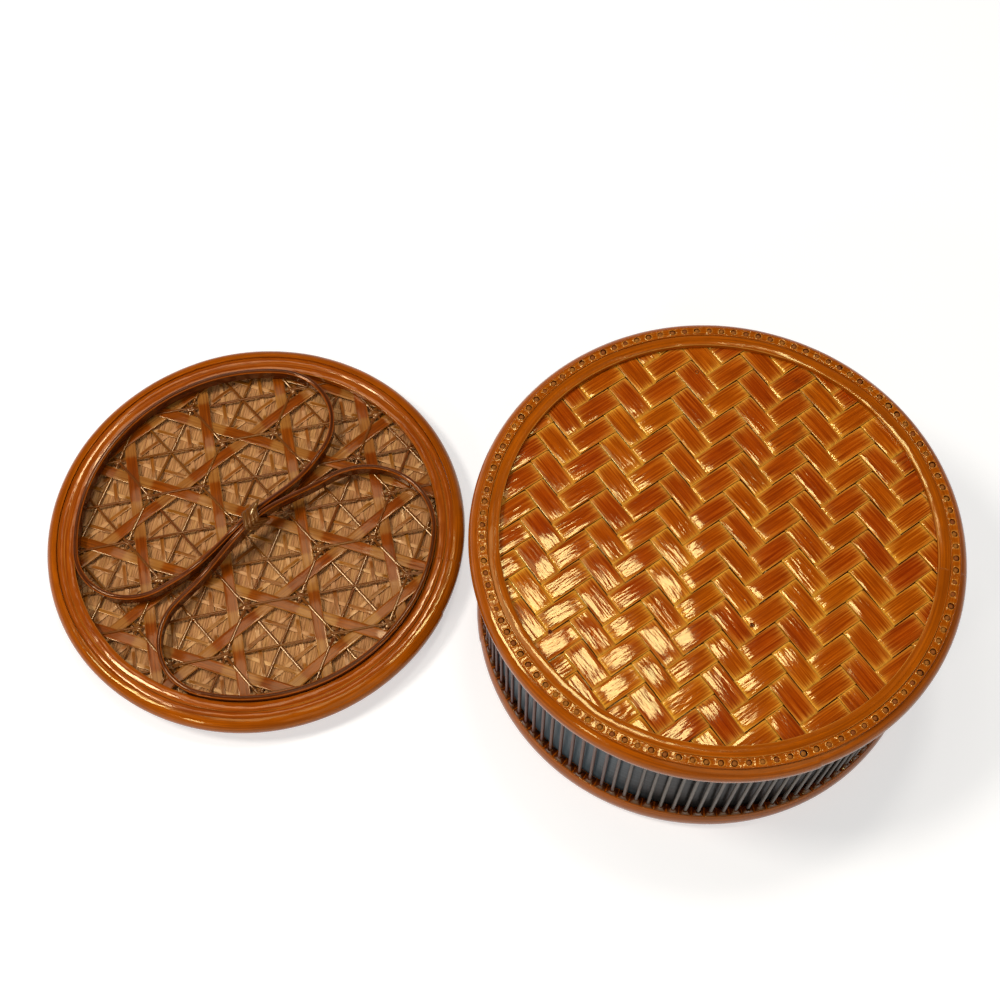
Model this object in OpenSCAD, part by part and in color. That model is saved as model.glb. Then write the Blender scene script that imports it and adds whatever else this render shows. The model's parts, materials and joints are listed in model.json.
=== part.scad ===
// Round lidded box of lacquered bamboo: a wall of split sticks round a thin liner, a twill base
// and a flat lid with a star-weave panel and a two-loop handle.
// The box stands upside down on its mouth, and its lid lies face up beside it.
// All sizes are in millimetres, +Z is up and the table is at z = 0.

/* [Box] */
// Outside diameter of the base ring
base_d = 200; // [180:1:230]
// Height of the box from its mouth to its base
box_h = 87; // [70:1:110]
// Clear space between the lid and the base ring as they lie side by side
side_gap = 6.3; // [4:0.1:40]
// Glue line between pieces that are fixed to each other
glue = 0.1; // [0.05:0.05:0.2]

/* [Base ring] */
// Width of the half-round outer hoop
base_outer_w = 3.7; // [2.5:0.1:4.5]
// Height of the half-round outer hoop
base_outer_h = 9.4; // [8:0.1:10.5]
// Step from the base face down to the outer hoop
base_outer_drop = 1.6; // [0.5:0.1:2.5]
// Width of the two hoops that the sticks stand in
stick_hoop_w = 4; // [3.4:0.1:5]
// Height of the stick hoop at the base
base_stick_hoop_h = 11; // [9:0.5:14]
// Width of the flat inner hoop that holds the base down
base_inner_w = 4.6; // [3:0.1:7]
// Thickness of the flat inner hoop
base_inner_h = 3; // [2:0.1:5]
// Thickness of the board under the twill
board_t = 2; // [1.2:0.1:4]

/* [Twill base] */
// Distance from one woven strip to the next
twill_pitch = 9.35; // [7:0.05:12]
// Slit between neighbouring strips
twill_slit = 0.45; // [0.35:0.05:1]
// Thickness of a strip
twill_t = 0.6; // [0.4:0.05:0.8]
// Direction of the first set of strips, from +X
twill_angle = 45; // [0:1:90]

/* [Wall] */
// Number of sticks round the wall
stick_count = 113; // [80:1:120]
// Diameter of a stick
stick_d = 2.2; // [1.6:0.1:2.6]
// Play of a stick in its hole, all round
stick_fit = 0.1; // [0.05:0.05:0.2]
// Depth of each stick end below the base face
stick_sink = 0.7; // [0.2:0.1:2]
// Thickness of the liner behind the sticks
liner_t = 1.6; // [1:0.1:3]

/* [Mouth ring] */
// Height of the stick hoop at the mouth
mouth_h = 11; // [9:0.5:16]
// Width of the half-round band outside it
mouth_outer_w = 1.6; // [1:0.1:2.5]
// Wood left under the blind stick holes
mouth_floor = 2.5; // [1.5:0.1:4]

/* [Lid ring] */
// Width of the rounded outer hoop of the lid
lid_outer_w = 5; // [4:0.1:7]
// Height of the lid ring above the box mouth
lid_ring_h = 8.6; // [8:0.1:12]
// Width of the middle hoop
lid_middle_w = 3.2; // [2:0.1:5]
// Step from the outer hoop down to the middle hoop
lid_middle_drop = 0.6; // [0.2:0.1:1.5]
// Width of the inner hoop that holds the panel down
lid_inner_w = 4.2; // [3:0.1:7]
// Thickness of the hoop that drops into the box mouth
flange_w = 4.5; // [3.5:0.1:6]
// Depth of that hoop below the lid ring
flange_h = 6; // [5:0.5:10]
// Play between that hoop and the liner, all round
flange_fit = 0.5; // [0.3:0.1:1]
// Thickness of the lid's backing sheet
backing_t = 1.2; // [0.8:0.1:2]

/* [Star weave] */
// Distance from one star to the next
star_pitch = 42.3; // [36:0.1:50]
// Place of one star, from the middle of the lid along X
star_x = -8.4; // [-25:0.1:25]
// Place of the same star along Y
star_y = 26.9; // [-40:0.1:40]
// Direction of the first set of wide strips, from +X
star_angle = -8; // [-30:1:30]
// Width of the wide strips
wide_w = 5.2; // [3:0.1:6]
// Thickness of the wide strips
wide_t = 0.5; // [0.3:0.05:0.6]
// Width of the thin strips that cross in stars
star_w = 1.3; // [0.8:0.1:1.8]
// Thickness of the star strips
star_t = 0.4; // [0.3:0.05:0.45]
// Width of the fine strips under them
fine_w = 1.8; // [1:0.1:2.4]
// Thickness of the fine strips
fine_t = 0.35; // [0.2:0.05:0.4]

/* [Handle] */
// Thickness of the handle ribbon
ribbon_t = 2.2; // [1.4:0.1:3]
// Height of the handle ribbon, on edge
ribbon_h = 6; // [4:0.5:8]
// Rise of the grip at the middle of the lid
grip_lift = 10; // [5:0.5:14]
// Length of the raised grip
grip_l = 80; // [60:1:84]
// Radius of the left loop's far end
left_far_lobe_r = 28; // [22:0.5:32]
// Radius of the left loop's near end
left_near_lobe_r = 26; // [22:0.5:32]
// Radius of the right loop's far end
right_far_lobe_r = 31.5; // [22:0.5:32]
// Radius of the right loop's near end
right_near_lobe_r = 26; // [22:0.5:32]
// Bend of the left loop's grip side, towards its far end
left_far_bow_r = 185; // [180:5:900]
// Bend of the left loop's grip side, towards its near end
left_near_bow_r = 235; // [180:5:900]
// Bend of the right loop's grip side, towards its far end
right_far_bow_r = 212; // [180:1:900]
// Bend of the right loop's grip side, towards its near end
right_near_bow_r = 600; // [180:5:900]
// Space between the two loops under the lashing
loop_space = 0.5; // [0.3:0.1:1]
// Direction of the grip, from +X
grip_angle = 55; // [0:1:90]
// Diameter of the lashing cane
cane_d = 1.3; // [1:0.1:1.6]
// Number of turns of cane round the grip
cane_turns = 4; // [2:1:6]
// Space between neighbouring turns of cane
cane_space = 0.55; // [0.5:0.05:0.8]

/* [Hidden] */
$fn = 96;

// Air kept between woven strips that cross
weave_air = 0.1;
// Air over a star strip, where the wide strip above it slopes
slope_air = 0.15;
// Air between a handle loop and what it lies against
loop_air = 0.3;
// Play of the woven panels inside their hoops
woven_play = 0.5;
// Length that cuts run past a face
past = 1;

// Radii of the box, from the outside in
base_r = base_d / 2;
base_outer_in = base_r - base_outer_w;
hoop_out = base_outer_in - glue;
hoop_in = hoop_out - stick_hoop_w;
stick_r = (hoop_out + hoop_in) / 2;
liner_out = hoop_in - glue;
liner_in = liner_out - liner_t;
base_inner_in = liner_out - base_inner_w;
mouth_outer_in = hoop_out + glue;
mat_r = liner_out - woven_play;

// Heights of the base, from its face down
inner_hoop_z = box_h - base_inner_h;
mat_top = inner_hoop_z - glue;
mat_rise = (twill_t + weave_air) / 2;
mat_mid = mat_top - mat_rise - twill_t / 2;
board_top = mat_mid - mat_rise - twill_t / 2 - glue;
liner_top = board_top - board_t - glue;
base_outer_top = box_h - base_outer_drop;

// Radii of the lid, from the fit in the box mouth outward and inward
flange_out = liner_in - flange_fit;
flange_in = flange_out - flange_w;
lid_middle_out = flange_out;
lid_middle_in = lid_middle_out - lid_middle_w;
lid_outer_in = lid_middle_out + glue;
lid_r = lid_outer_in + lid_outer_w;
lid_inner_out = lid_middle_in - glue;
lid_inner_in = lid_inner_out - lid_inner_w;
panel_r = lid_inner_out - woven_play;

// Places of the box and of the lid, so that the pair is centred on the origin
pair_l = 2 * lid_r + side_gap + base_d;
box_x = pair_l / 2 - base_r;
lid_x = lid_r - pair_l / 2;

// Heights of the lid, from the table up
lid_ring_z = flange_h;
lid_top = lid_ring_z + lid_ring_h;
backing_z = flange_h + glue;
fine_rise = (fine_t + weave_air) / 2;
fine_mid = backing_z + backing_t + weave_air + fine_rise + fine_t / 2;
fine_top = fine_mid + fine_rise + fine_t / 2;
// Three star strips cross at one point, so each of the three sets has its own level there
star_step = star_t + weave_air;
star_low = fine_top + weave_air + star_t / 2 + star_step;
wide_rise = (wide_t + weave_air) / 2;
wide_mid = star_low + (star_t + wide_t) / 2 + slope_air;
star_high = wide_mid + wide_rise + (wide_t + star_t) / 2 + weave_air;
panel_top = star_high + star_t / 2;
lid_inner_z = panel_top + glue;
star_middle = (star_low + star_high) / 2;
lid_middle_top = lid_top - lid_middle_drop;

// Star lattice: one star, the distance between rows of stars, and the directions of the wide strips
star_at = [star_x, star_y];
row = star_pitch * sqrt(3) / 2;
families = [star_angle, star_angle + 60, star_angle + 120];

// Handle loops, in a frame with the grip along X
loop_z = panel_top + loop_air;
rim_r = lid_inner_in - loop_air - ribbon_t / 2;
side_y = (loop_space + ribbon_t) / 2;
arch_x = grip_l / 2;
arch_steps = 20;
arc_steps = 16;
stick_facets = 24;

// Lashing: a round-cornered winding about both ribbons
cane_air = 0.3;
cane_corner = 1.2;
cane_sides = 6;
corner_points = 6;
loop_points = 4 * corner_points;
cane_pitch = cane_d + cane_space;
lash_y = side_y + ribbon_t / 2 + cane_air + cane_d / 2;
lash_z = ribbon_h / 2 + cane_air + cane_d / 2;

bamboo_amber = "#b4640f";
bamboo_red = "#93400a";
bamboo_tan = "#b08a58";
stick_brown = "#5e4a3a";
liner_black = "#2c2a29";

// Remainder that stays positive for negative numbers
function wrap(value, size) = value - size * floor(value / size);

// A hoop of rectangular section
module flat_hoop(r_in, r_out, z0, h) {
    rotate_extrude()
        translate([r_in, z0]) square([r_out - r_in, h]);
}

// A hoop with a flat inner side of height h that bulges outward by w
module bowed_hoop(r_in, w, z0, h) {
    round_r = (h * h / 4 + w * w) / (2 * w);
    rotate_extrude()
        intersection() {
            translate([r_in, z0]) square([w + past, h]);
            translate([r_in + w - round_r, z0 + h / 2]) circle(round_r);
        }
}

// A disc with its lower face at z0
module disc(r, z0, t) {
    translate([0, 0, z0]) cylinder(r = r, h = t);
}

// Holes or sticks: one upright cylinder at each stick's place
module at_sticks(d, z0, z1) {
    for (i = [0 : stick_count - 1])
        rotate(360 * i / stick_count)
            translate([stick_r, 0, z0]) cylinder(d = d, h = z1 - z0, $fn = stick_facets);
}

// A bent strip along X whose centre line is a list of [x, z] points
module strip(line, w, t) {
    upper = [for (p = line) [p[0], p[1] + t / 2]];
    lower = [for (i = [len(line) - 1 : -1 : 0]) [line[i][0], line[i][1] - t / 2]];
    rotate([90, 0, 0]) linear_extrude(w, center = true) polygon(concat(upper, lower));
}

// Twill: strip j of the first set lies over strips k and k + 1 of the second, then under two
function twill_over(j, k) = wrap(k - j + 1, 4) < 2;
twill_w = twill_pitch - twill_slit;
twill_n = floor(mat_r / twill_pitch);

function twill_level(j, k, first) =
    let (up = first ? twill_over(j, k) : !twill_over(k, j))
    mat_mid + (up ? mat_rise : -mat_rise);

function twill_line(j, first) =
    let (n = twill_n + 1)
    concat(
        [[-mat_r - past, twill_level(j, -n, first)]],
        [for (k = [-n + 1 : n])
            if (twill_level(j, k, first) != twill_level(j, k - 1, first))
                each [
                    [(k - 0.5) * twill_pitch - twill_slit / 2, twill_level(j, k - 1, first)],
                    [(k - 0.5) * twill_pitch + twill_slit / 2, twill_level(j, k, first)]
                ]],
        [[mat_r + past, twill_level(j, n, first)]]
    );

module twill_strip(j, first) {
    intersection() {
        rotate(first ? twill_angle : twill_angle + 90)
            translate([0, first ? j * twill_pitch : -j * twill_pitch, 0])
                strip(twill_line(j, first), twill_w, twill_t);
        disc(mat_r, board_top, mat_top - board_top);
    }
}

module twill_set(first) {
    for (j = [-twill_n : twill_n]) twill_strip(j, first);
}

// Three-way weave: each strip goes over the next family and under the one after it
function flat_half(w) = w / 2 / sin(60) + w / 2 / tan(60) + weave_air;

function weave_line(start, step, flat, mid, rise) =
    let (turns = ceil(panel_r / step) + 2)
    [for (m = [-turns : turns])
        each [
            [start + m * step - flat, mid + rise],
            [start + m * step + flat, mid + rise],
            [start + (m + 0.5) * step - flat, mid - rise],
            [start + (m + 0.5) * step + flat, mid - rise]
        ]];

// Place along a strip, offset o from the star, where it crosses over the next family
function over_at(o, i, space) =
    let (turn = families[(i + 1) % 3] - families[i])
    wrap((o * cos(turn) - space / 2) / sin(turn), space / sin(60));

module weave_family(i, space, w, t, mid, rise) {
    side = [-sin(families[i]), cos(families[i])];
    first = ceil((-panel_r - star_at * side) / space - 0.5);
    last = floor((panel_r - star_at * side) / space - 0.5);
    for (n = [first : last])
        intersection() {
            translate(star_at) rotate(families[i])
                translate([0, (n + 0.5) * space, 0])
                    strip(weave_line(over_at((n + 0.5) * space, i, space),
                        space / sin(60), flat_half(w), mid, rise), w, t);
            disc(panel_r, backing_z, lid_inner_z - backing_z);
        }
}

// A star strip: through a star, under a wide strip, through a triangle and over a crossing
star_flat = flat_half(star_w);
under_flat = wide_w / 2 + 2 * weave_air;
over_flat = wide_w + star_w;

function star_half(i) = [
    [star_flat, star_low + (i - 1) * star_step],
    [row / 2 - under_flat, star_low],
    [row / 2 + under_flat, star_low],
    [row * 2 / 3 - star_flat, star_middle + (i - 1) * star_step],
    [row * 2 / 3 + star_flat, star_middle + (i - 1) * star_step],
    [row - over_flat, star_high]
];

function star_line(i, start) =
    let (half = star_half(i), turns = ceil(panel_r / row) + 1)
    [for (m = [-turns : turns])
        let (middle = start + 2 * row * m)
        each concat(
            [for (k = [len(half) - 1 : -1 : 0]) [middle - half[k][0], half[k][1]]],
            [for (p = half) [middle + p[0], p[1]]]
        )];

module star_family(i) {
    side = [cos(families[i]), sin(families[i])];
    half_pitch = star_pitch / 2;
    first = ceil((-panel_r - star_at * side) / half_pitch);
    last = floor((panel_r - star_at * side) / half_pitch);
    for (q = [first : last])
        intersection() {
            translate(star_at) rotate(families[i] + 90)
                translate([0, -q * half_pitch, 0])
                    strip(star_line(i, wrap(q, 2) * row), star_w, star_t);
            disc(panel_r, backing_z, lid_inner_z - backing_z);
        }
}

// Handle: an arc as points, from a0 up to but without a1
function arc(c, r, a0, a1) =
    [for (i = [0 : arc_steps - 1])
        let (a = a0 + (a1 - a0) * i / arc_steps)
        c + r * [cos(a), sin(a)]];

// Middle of the rounded end that touches both the rim circle and the bowed grip side
function lobe_at(lobe_r, bow_r) =
    let (bow_y = side_y + bow_r, reach = rim_r - lobe_r,
        y = (pow(reach, 2) - pow(bow_r - lobe_r, 2) + pow(bow_y, 2)) / (2 * bow_y))
    [sqrt(pow(reach, 2) - pow(y, 2)), y];

// One end of a loop, from the middle of the grip to the middle of the rim, grown by g
function half_outline(lobe_r, bow_r, g) =
    let (lobe = lobe_at(lobe_r, bow_r), bow = [0, side_y + bow_r],
        bow_turn = atan2(lobe[1] - bow[1], lobe[0]), rim_turn = atan2(lobe[1], lobe[0]))
    concat(
        arc(bow, bow_r + g, -90, bow_turn),
        arc(lobe, lobe_r + g, bow_turn, rim_turn),
        arc([0, 0], rim_r + g, rim_turn, 90)
    );

// A whole loop: one end, the middle of the rim, and the other end run backward
function loop_outline(ahead, behind, g) =
    let (one = half_outline(ahead[0], ahead[1], g), other = half_outline(behind[0], behind[1], g))
    concat(
        one,
        [[0, rim_r + g]],
        [for (i = [len(other) - 1 : -1 : 1]) [-other[i][0], other[i][1]]]
    );

module loop_plan(ahead, behind) {
    difference() {
        polygon(loop_outline(ahead, behind, ribbon_t / 2));
        polygon(loop_outline(ahead, behind, -ribbon_t / 2));
    }
}

function arch_rise(x) = grip_lift * (1 + cos(180 * x / arch_x)) / 2;
arch_line = [for (i = [-arch_steps : arch_steps])
    [arch_x * i / arch_steps, ribbon_h / 2 + arch_rise(arch_x * i / arch_steps)]];

// The grip side of a loop ends halfway out to its rim, and the raised part stays within it
module grip_region() {
    translate([-arch_x, -rim_r / 2, -past]) cube([2 * arch_x, rim_r, ribbon_h + 2 * past]);
}

// A loop whose ends are given as [radius of the end, bend of the grip side]
module handle_loop(ahead, behind) {
    difference() {
        linear_extrude(ribbon_h) loop_plan(ahead, behind);
        grip_region();
    }
    intersection() {
        linear_extrude(ribbon_h + grip_lift) loop_plan(ahead, behind);
        strip(arch_line, rim_r, ribbon_h);
    }
}

module on_lid(turn) {
    translate([lid_x, 0, loop_z]) rotate(turn) children();
}

// Lashing: points of the winding, each with its outward direction, then a tube along them
function cane_angle(i) =
    let (k = wrap(i, loop_points))
    90 * floor(k / corner_points) + 90 * (k % corner_points) / (corner_points - 1);
function cane_out(i) = [0, cos(cane_angle(i)), sin(cane_angle(i))];
function cane_side(i) =
    let (q = floor(wrap(i, loop_points) / corner_points))
    [0, (q == 0 || q == 3) ? 1 : -1, q < 2 ? 1 : -1];
function cane_point(i) =
    let (s = cane_side(i), out = cane_out(i))
    [cane_pitch * (i / loop_points - cane_turns / 2),
        s[1] * (lash_y - cane_corner) + cane_corner * out[1],
        ribbon_h / 2 + grip_lift + s[2] * (lash_z - cane_corner) + cane_corner * out[2]];

cane_last = cane_turns * loop_points - 1;
cane_line = [for (i = [0 : cane_last]) cane_point(i)];
cane_gaps = [for (i = [0 : cane_last - loop_points / 2])
    for (j = [i + loop_points / 2 : cane_last]) norm(cane_line[i] - cane_line[j]) - cane_d];
echo(least_gap_between_cane_turns = min(cane_gaps));

module cane_tube() {
    ring = [for (i = [0 : cane_last]) for (k = [0 : cane_sides - 1])
        cane_line[i] + cane_d / 2 * (cos(360 * k / cane_sides) * cane_out(i)
            + [sin(360 * k / cane_sides), 0, 0])];
    sides = [for (i = [0 : cane_last - 1]) for (k = [0 : cane_sides - 1])
        let (a = i * cane_sides + k, b = i * cane_sides + (k + 1) % cane_sides)
        each [[a, b, b + cane_sides], [a, b + cane_sides, a + cane_sides]]];
    start_cap = [for (k = [1 : cane_sides - 2]) [0, k + 1, k]];
    end = cane_last * cane_sides;
    end_cap = [for (k = [1 : cane_sides - 2]) [end, end + k, end + k + 1]];
    polyhedron(ring, concat(sides, start_cap, end_cap));
}

// Pieces of the box
module base_outer_hoop() {
    color(bamboo_amber) translate([box_x, 0, 0])
        bowed_hoop(base_outer_in, base_outer_w, base_outer_top - base_outer_h, base_outer_h);
}

module base_stick_hoop() {
    hoop_z = box_h - base_stick_hoop_h;
    color(bamboo_amber) translate([box_x, 0, 0])
        difference() {
            flat_hoop(hoop_in, hoop_out, hoop_z, base_stick_hoop_h);
            at_sticks(stick_d + 2 * stick_fit, hoop_z - past, box_h + past);
        }
}

module base_inner_hoop() {
    color(bamboo_red) translate([box_x, 0, 0])
        flat_hoop(base_inner_in, liner_out, inner_hoop_z, base_inner_h);
}

module base_board() {
    color(bamboo_red) translate([box_x, 0, 0]) disc(liner_out, board_top - board_t, board_t);
}

module base_twill_warp() {
    color(bamboo_amber) translate([box_x, 0, 0]) twill_set(true);
}

module base_twill_weft() {
    color(bamboo_red) translate([box_x, 0, 0]) twill_set(false);
}

module wall_sticks() {
    color(stick_brown) translate([box_x, 0, 0])
        at_sticks(stick_d, mouth_floor + glue, box_h - stick_sink);
}

module wall_liner() {
    color(liner_black) translate([box_x, 0, 0]) flat_hoop(liner_in, liner_out, 0, liner_top);
}

module mouth_stick_hoop() {
    color(bamboo_amber) translate([box_x, 0, 0])
        difference() {
            flat_hoop(hoop_in, hoop_out, 0, mouth_h);
            at_sticks(stick_d + 2 * stick_fit, mouth_floor, mouth_h + past);
        }
}

module mouth_outer_hoop() {
    color(bamboo_amber) translate([box_x, 0, 0]) bowed_hoop(mouth_outer_in, mouth_outer_w, 0, mouth_h);
}

// Pieces of the lid
module lid_outer_hoop() {
    color(bamboo_amber) translate([lid_x, 0, 0])
        bowed_hoop(lid_outer_in, lid_outer_w, lid_ring_z, lid_ring_h);
}

module lid_middle_hoop() {
    color(bamboo_red) translate([lid_x, 0, 0])
        flat_hoop(lid_middle_in, lid_middle_out, backing_z, lid_middle_top - backing_z);
}

module lid_inner_hoop() {
    color(bamboo_red) translate([lid_x, 0, 0])
        flat_hoop(lid_inner_in, lid_inner_out, lid_inner_z, lid_top - lid_inner_z);
}

module lid_flange() {
    color(bamboo_amber) translate([lid_x, 0, 0]) flat_hoop(flange_in, flange_out, 0, flange_h);
}

module lid_backing() {
    color(bamboo_tan) translate([lid_x, 0, 0]) disc(lid_inner_out, backing_z, backing_t);
}

module lid_fine_strips(i) {
    color(bamboo_tan) translate([lid_x, 0, 0])
        weave_family(i, row / 2, fine_w, fine_t, fine_mid, fine_rise);
}

module lid_star_strips(i) {
    color(stick_brown) translate([lid_x, 0, 0]) star_family(i);
}

module lid_wide_strips(i) {
    color(bamboo_red) translate([lid_x, 0, 0])
        weave_family(i, row, wide_w, wide_t, wide_mid, wide_rise);
}

module handle_loop_left() {
    color(stick_brown) on_lid(grip_angle)
        handle_loop([left_far_lobe_r, left_far_bow_r], [left_near_lobe_r, left_near_bow_r]);
}

module handle_loop_right() {
    color(stick_brown) on_lid(grip_angle + 180)
        handle_loop([right_near_lobe_r, right_near_bow_r], [right_far_lobe_r, right_far_bow_r]);
}

module handle_lashing() {
    color(bamboo_red) on_lid(grip_angle) cane_tube();
}

base_outer_hoop();
base_stick_hoop();
base_inner_hoop();
base_board();
base_twill_warp();
base_twill_weft();
wall_sticks();
wall_liner();
mouth_stick_hoop();
mouth_outer_hoop();
lid_outer_hoop();
lid_middle_hoop();
lid_inner_hoop();
lid_flange();
lid_backing();
lid_fine_strips(0);  // lid_fine_strips_a
lid_fine_strips(1);  // lid_fine_strips_b
lid_fine_strips(2);  // lid_fine_strips_c
lid_star_strips(0);  // lid_star_strips_a
lid_star_strips(1);  // lid_star_strips_b
lid_star_strips(2);  // lid_star_strips_c
lid_wide_strips(0);  // lid_wide_strips_a
lid_wide_strips(1);  // lid_wide_strips_b
lid_wide_strips(2);  // lid_wide_strips_c
handle_loop_left();
handle_loop_right();
handle_lashing();
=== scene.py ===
"""Looks of a round box of lacquered bamboo, upside down on its mouth, with its lid face up beside it.

Laid out as an add-on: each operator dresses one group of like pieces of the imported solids.
Lengths are in millimetres until a mesh is made, +Z is up and the table is at z = 0.
"""

import json
import math
from typing import NamedTuple

import bmesh
import bpy
import numpy as np
from mathutils import Matrix, Vector

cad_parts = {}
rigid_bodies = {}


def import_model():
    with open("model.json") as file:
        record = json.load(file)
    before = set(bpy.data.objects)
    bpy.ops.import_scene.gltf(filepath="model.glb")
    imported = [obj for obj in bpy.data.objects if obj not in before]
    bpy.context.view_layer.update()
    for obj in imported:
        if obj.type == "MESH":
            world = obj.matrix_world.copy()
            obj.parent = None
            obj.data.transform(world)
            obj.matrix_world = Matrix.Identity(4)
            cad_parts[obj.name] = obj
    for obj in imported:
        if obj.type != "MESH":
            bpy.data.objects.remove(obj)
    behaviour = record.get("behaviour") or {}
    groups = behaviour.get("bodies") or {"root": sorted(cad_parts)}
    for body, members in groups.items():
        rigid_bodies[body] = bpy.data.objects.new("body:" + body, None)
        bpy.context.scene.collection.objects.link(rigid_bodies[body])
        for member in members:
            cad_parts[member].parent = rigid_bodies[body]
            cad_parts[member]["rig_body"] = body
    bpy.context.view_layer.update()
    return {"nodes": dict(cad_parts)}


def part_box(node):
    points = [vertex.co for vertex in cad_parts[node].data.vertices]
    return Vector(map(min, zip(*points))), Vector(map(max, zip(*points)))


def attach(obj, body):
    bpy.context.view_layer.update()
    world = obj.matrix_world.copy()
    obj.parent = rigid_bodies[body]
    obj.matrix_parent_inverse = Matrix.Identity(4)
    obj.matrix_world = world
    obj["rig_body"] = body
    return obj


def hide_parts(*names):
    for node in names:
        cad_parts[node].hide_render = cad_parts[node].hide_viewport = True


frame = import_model()

bl_info = {
    "name": "Lacquered bamboo box",
    "version": (1, 0, 0),
    "blender": (4, 5, 0),
    "location": "View3D > Sidebar > Bamboo box",
    "description": "Dresses a round lidded box of lacquered bamboo",
    "category": "Object",
}

MM = 0.001
TURN = 2 * math.pi
# Points nearer than this are one point
WELD = 0.002
# Faces that meet at more than this, in degrees, show a crease
CREASE = 42


def node_middle(node):
    """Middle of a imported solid, seen from above."""
    low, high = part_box(node)
    return np.array((low + high) / 2)[:2] / MM


BOX_AXIS = node_middle("base_outer_hoop")
LID_AXIS = node_middle("lid_outer_hoop")


def linear(hex_colour):
    """Linear RGB of an sRGB hex colour."""
    shares = [int(hex_colour[i:i + 2], 16) / 255 for i in (1, 3, 5)]
    return tuple(s / 12.92 if s <= 0.04045 else ((s + 0.055) / 1.055) ** 2.4 for s in shares)


def length(name, about, size):
    """A length that a user can change, given here in millimetres."""
    return bpy.props.FloatProperty(
        name=name, description=about, default=size * MM, min=0, unit="LENGTH", precision=5)


def colour(name, about, hex_colour):
    """A colour that a user can change."""
    return bpy.props.FloatVectorProperty(
        name=name, description=about, default=linear(hex_colour), min=0, max=1, subtype="COLOR")


class BambooBoxSizes(bpy.types.PropertyGroup):
    """Sizes of the strips, sticks and bindings"""

    twill_pitch: length("Twill pitch", "From one strip of the base to the next", 9.35)
    twill_slit: length("Twill slit", "Slit between neighbouring strips of the base", 0.36)
    twill_swell: length("Twill swell", "How far each twill cell swells in its middle", 0.26)
    stick_width: length("Stick width", "Diameter of a stick of the wall", 2.2)
    stick_bow: length("Stick bow", "How far a stick may bow at mid height", 0.22)
    hoop_wave: length("Hoop wave", "How far a bent hoop strays from a true circle", 0.16)
    wide_width: length("Wide strips", "Width of the wide strips of the lid", 5.2)
    fine_width: length("Fine strips", "Width of the fine strips of the lid", 1.8)
    star_width: length("Star strips", "Width of the thin strips that make the stars", 1.1)
    slat_width: length("Backing slats", "Width of a slat behind the lid's weave", 1.3)
    ribbon_thick: length("Ribbon thickness", "Thickness of the handle ribbons", 2.2)
    ribbon_tall: length("Ribbon height", "Height of the handle ribbons", 6)
    cane_width: length("Cane width", "Width of the cane round the handle", 2.6)
    stick_count: bpy.props.IntProperty(
        name="Sticks", description="Number of sticks round the wall", default=113, min=3)
    cane_turns: bpy.props.IntProperty(
        name="Cane turns", description="Turns of cane round the handle", default=4, min=1)


class BambooBoxColours(bpy.types.PropertyGroup):
    """Colours of the bamboo and of its lacquer"""

    twill: colour("Twill", "Middle of a twill cell", "#b85002")
    twill_shade: colour("Twill shade", "Dark fibres of the twill", "#8c3400")
    twill_rim: colour("Twill rim", "Thin lacquer along the borders of a cell", "#f8b03c")
    amber: colour("Amber hoops", "Amber lacquer of the round hoops", "#b45602")
    amber_shade: colour("Amber shade", "Dark fibres of the round hoops", "#8e4002")
    amber_rim: colour("Amber rim", "Thin lacquer on the edges of the hoops", "#dc9c40")
    red: colour("Red hoops", "Red-brown lacquer of the flat hoops", "#b2560a")
    red_shade: colour("Red shade", "Dark fibres of the flat hoops", "#8a3802")
    stick: colour("Sticks", "Greyed bamboo of the sticks", "#6c6259")
    stick_shade: colour("Stick shade", "Dark fibres of the sticks", "#484038")
    stick_end: colour("Stick ends", "Lacquered ends of the sticks", "#9a5a22")
    liner: colour("Liner", "Dark lacquer behind the sticks", "#2e2c2a")
    liner_shade: colour("Liner shade", "Darkest lacquer of the liner", "#222020")
    # Painted reflection of the lit floor, on one side of the liner
    liner_painted_reflection: colour("Faded liner", "Lacquer of the liner where light has faded it", "#5e6c74")
    backing: colour("Backing", "Tan slats behind the lid's weave", "#d49c64")
    backing_shade: colour("Backing shade", "Dark fibres of the slats", "#a26c3c")
    fine: colour("Fine strips", "Fine strips of the lid", "#a8621c")
    fine_shade: colour("Fine shade", "Dark fibres of the fine strips", "#7a440e")
    wide: colour("Wide strips", "Wide strips of the lid", "#9c4a08")
    wide_shade: colour("Wide shade", "Dark fibres of the wide strips", "#743202")
    wide_rim: colour("Wide rim", "Thin lacquer where a wide strip dives", "#b27a38")
    star: colour("Star strips", "Thin strips that make the stars", "#74380e")
    handle: colour("Handle", "Smoked bamboo of the handle", "#6a2e0c")
    handle_shade: colour("Handle shade", "Dark fibres of the handle", "#3a1a06")
    cane: colour("Cane", "Cane round the handle", "#4c2810")
    # Also carries painted shade: in grooves, hole walls, slits and dives of the twill, and at the feet of
    # sticks and ribbons
    pool: colour("Pooled lacquer", "Lacquer where it has run together", "#54220a")
    gold_gloss: colour("Golden gloss", "Light that comes back through amber lacquer", "#fff0a4")
    cream_gloss: colour("Cream gloss", "Light that comes back from dark lacquer", "#ffe0b0")
    red_gloss: colour("Red gloss", "Light that comes back through smoked bamboo", "#ffcca0")
    cool_gloss: colour("Cool gloss", "Light that comes back from the liner", "#a4b2bc")
    dull_gloss: colour("Dull gloss", "Light that comes back from dry or rubbed bamboo", "#8a7258")
    lamp: colour("Lamps", "Light of the lamps", "#fffaf2")
    floor: colour("Floor", "Plain pale floor", "#d6d6d6")


def count(name):
    """A number that a user can change."""
    return getattr(bpy.context.scene.bamboo_box_sizes, name)


def mm(name):
    """A size that a user can change, in millimetres."""
    return count(name) / MM


def tint(name):
    """A colour that a user can change, with full alpha."""
    return (*getattr(bpy.context.scene.bamboo_box_colours, name), 1)


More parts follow.
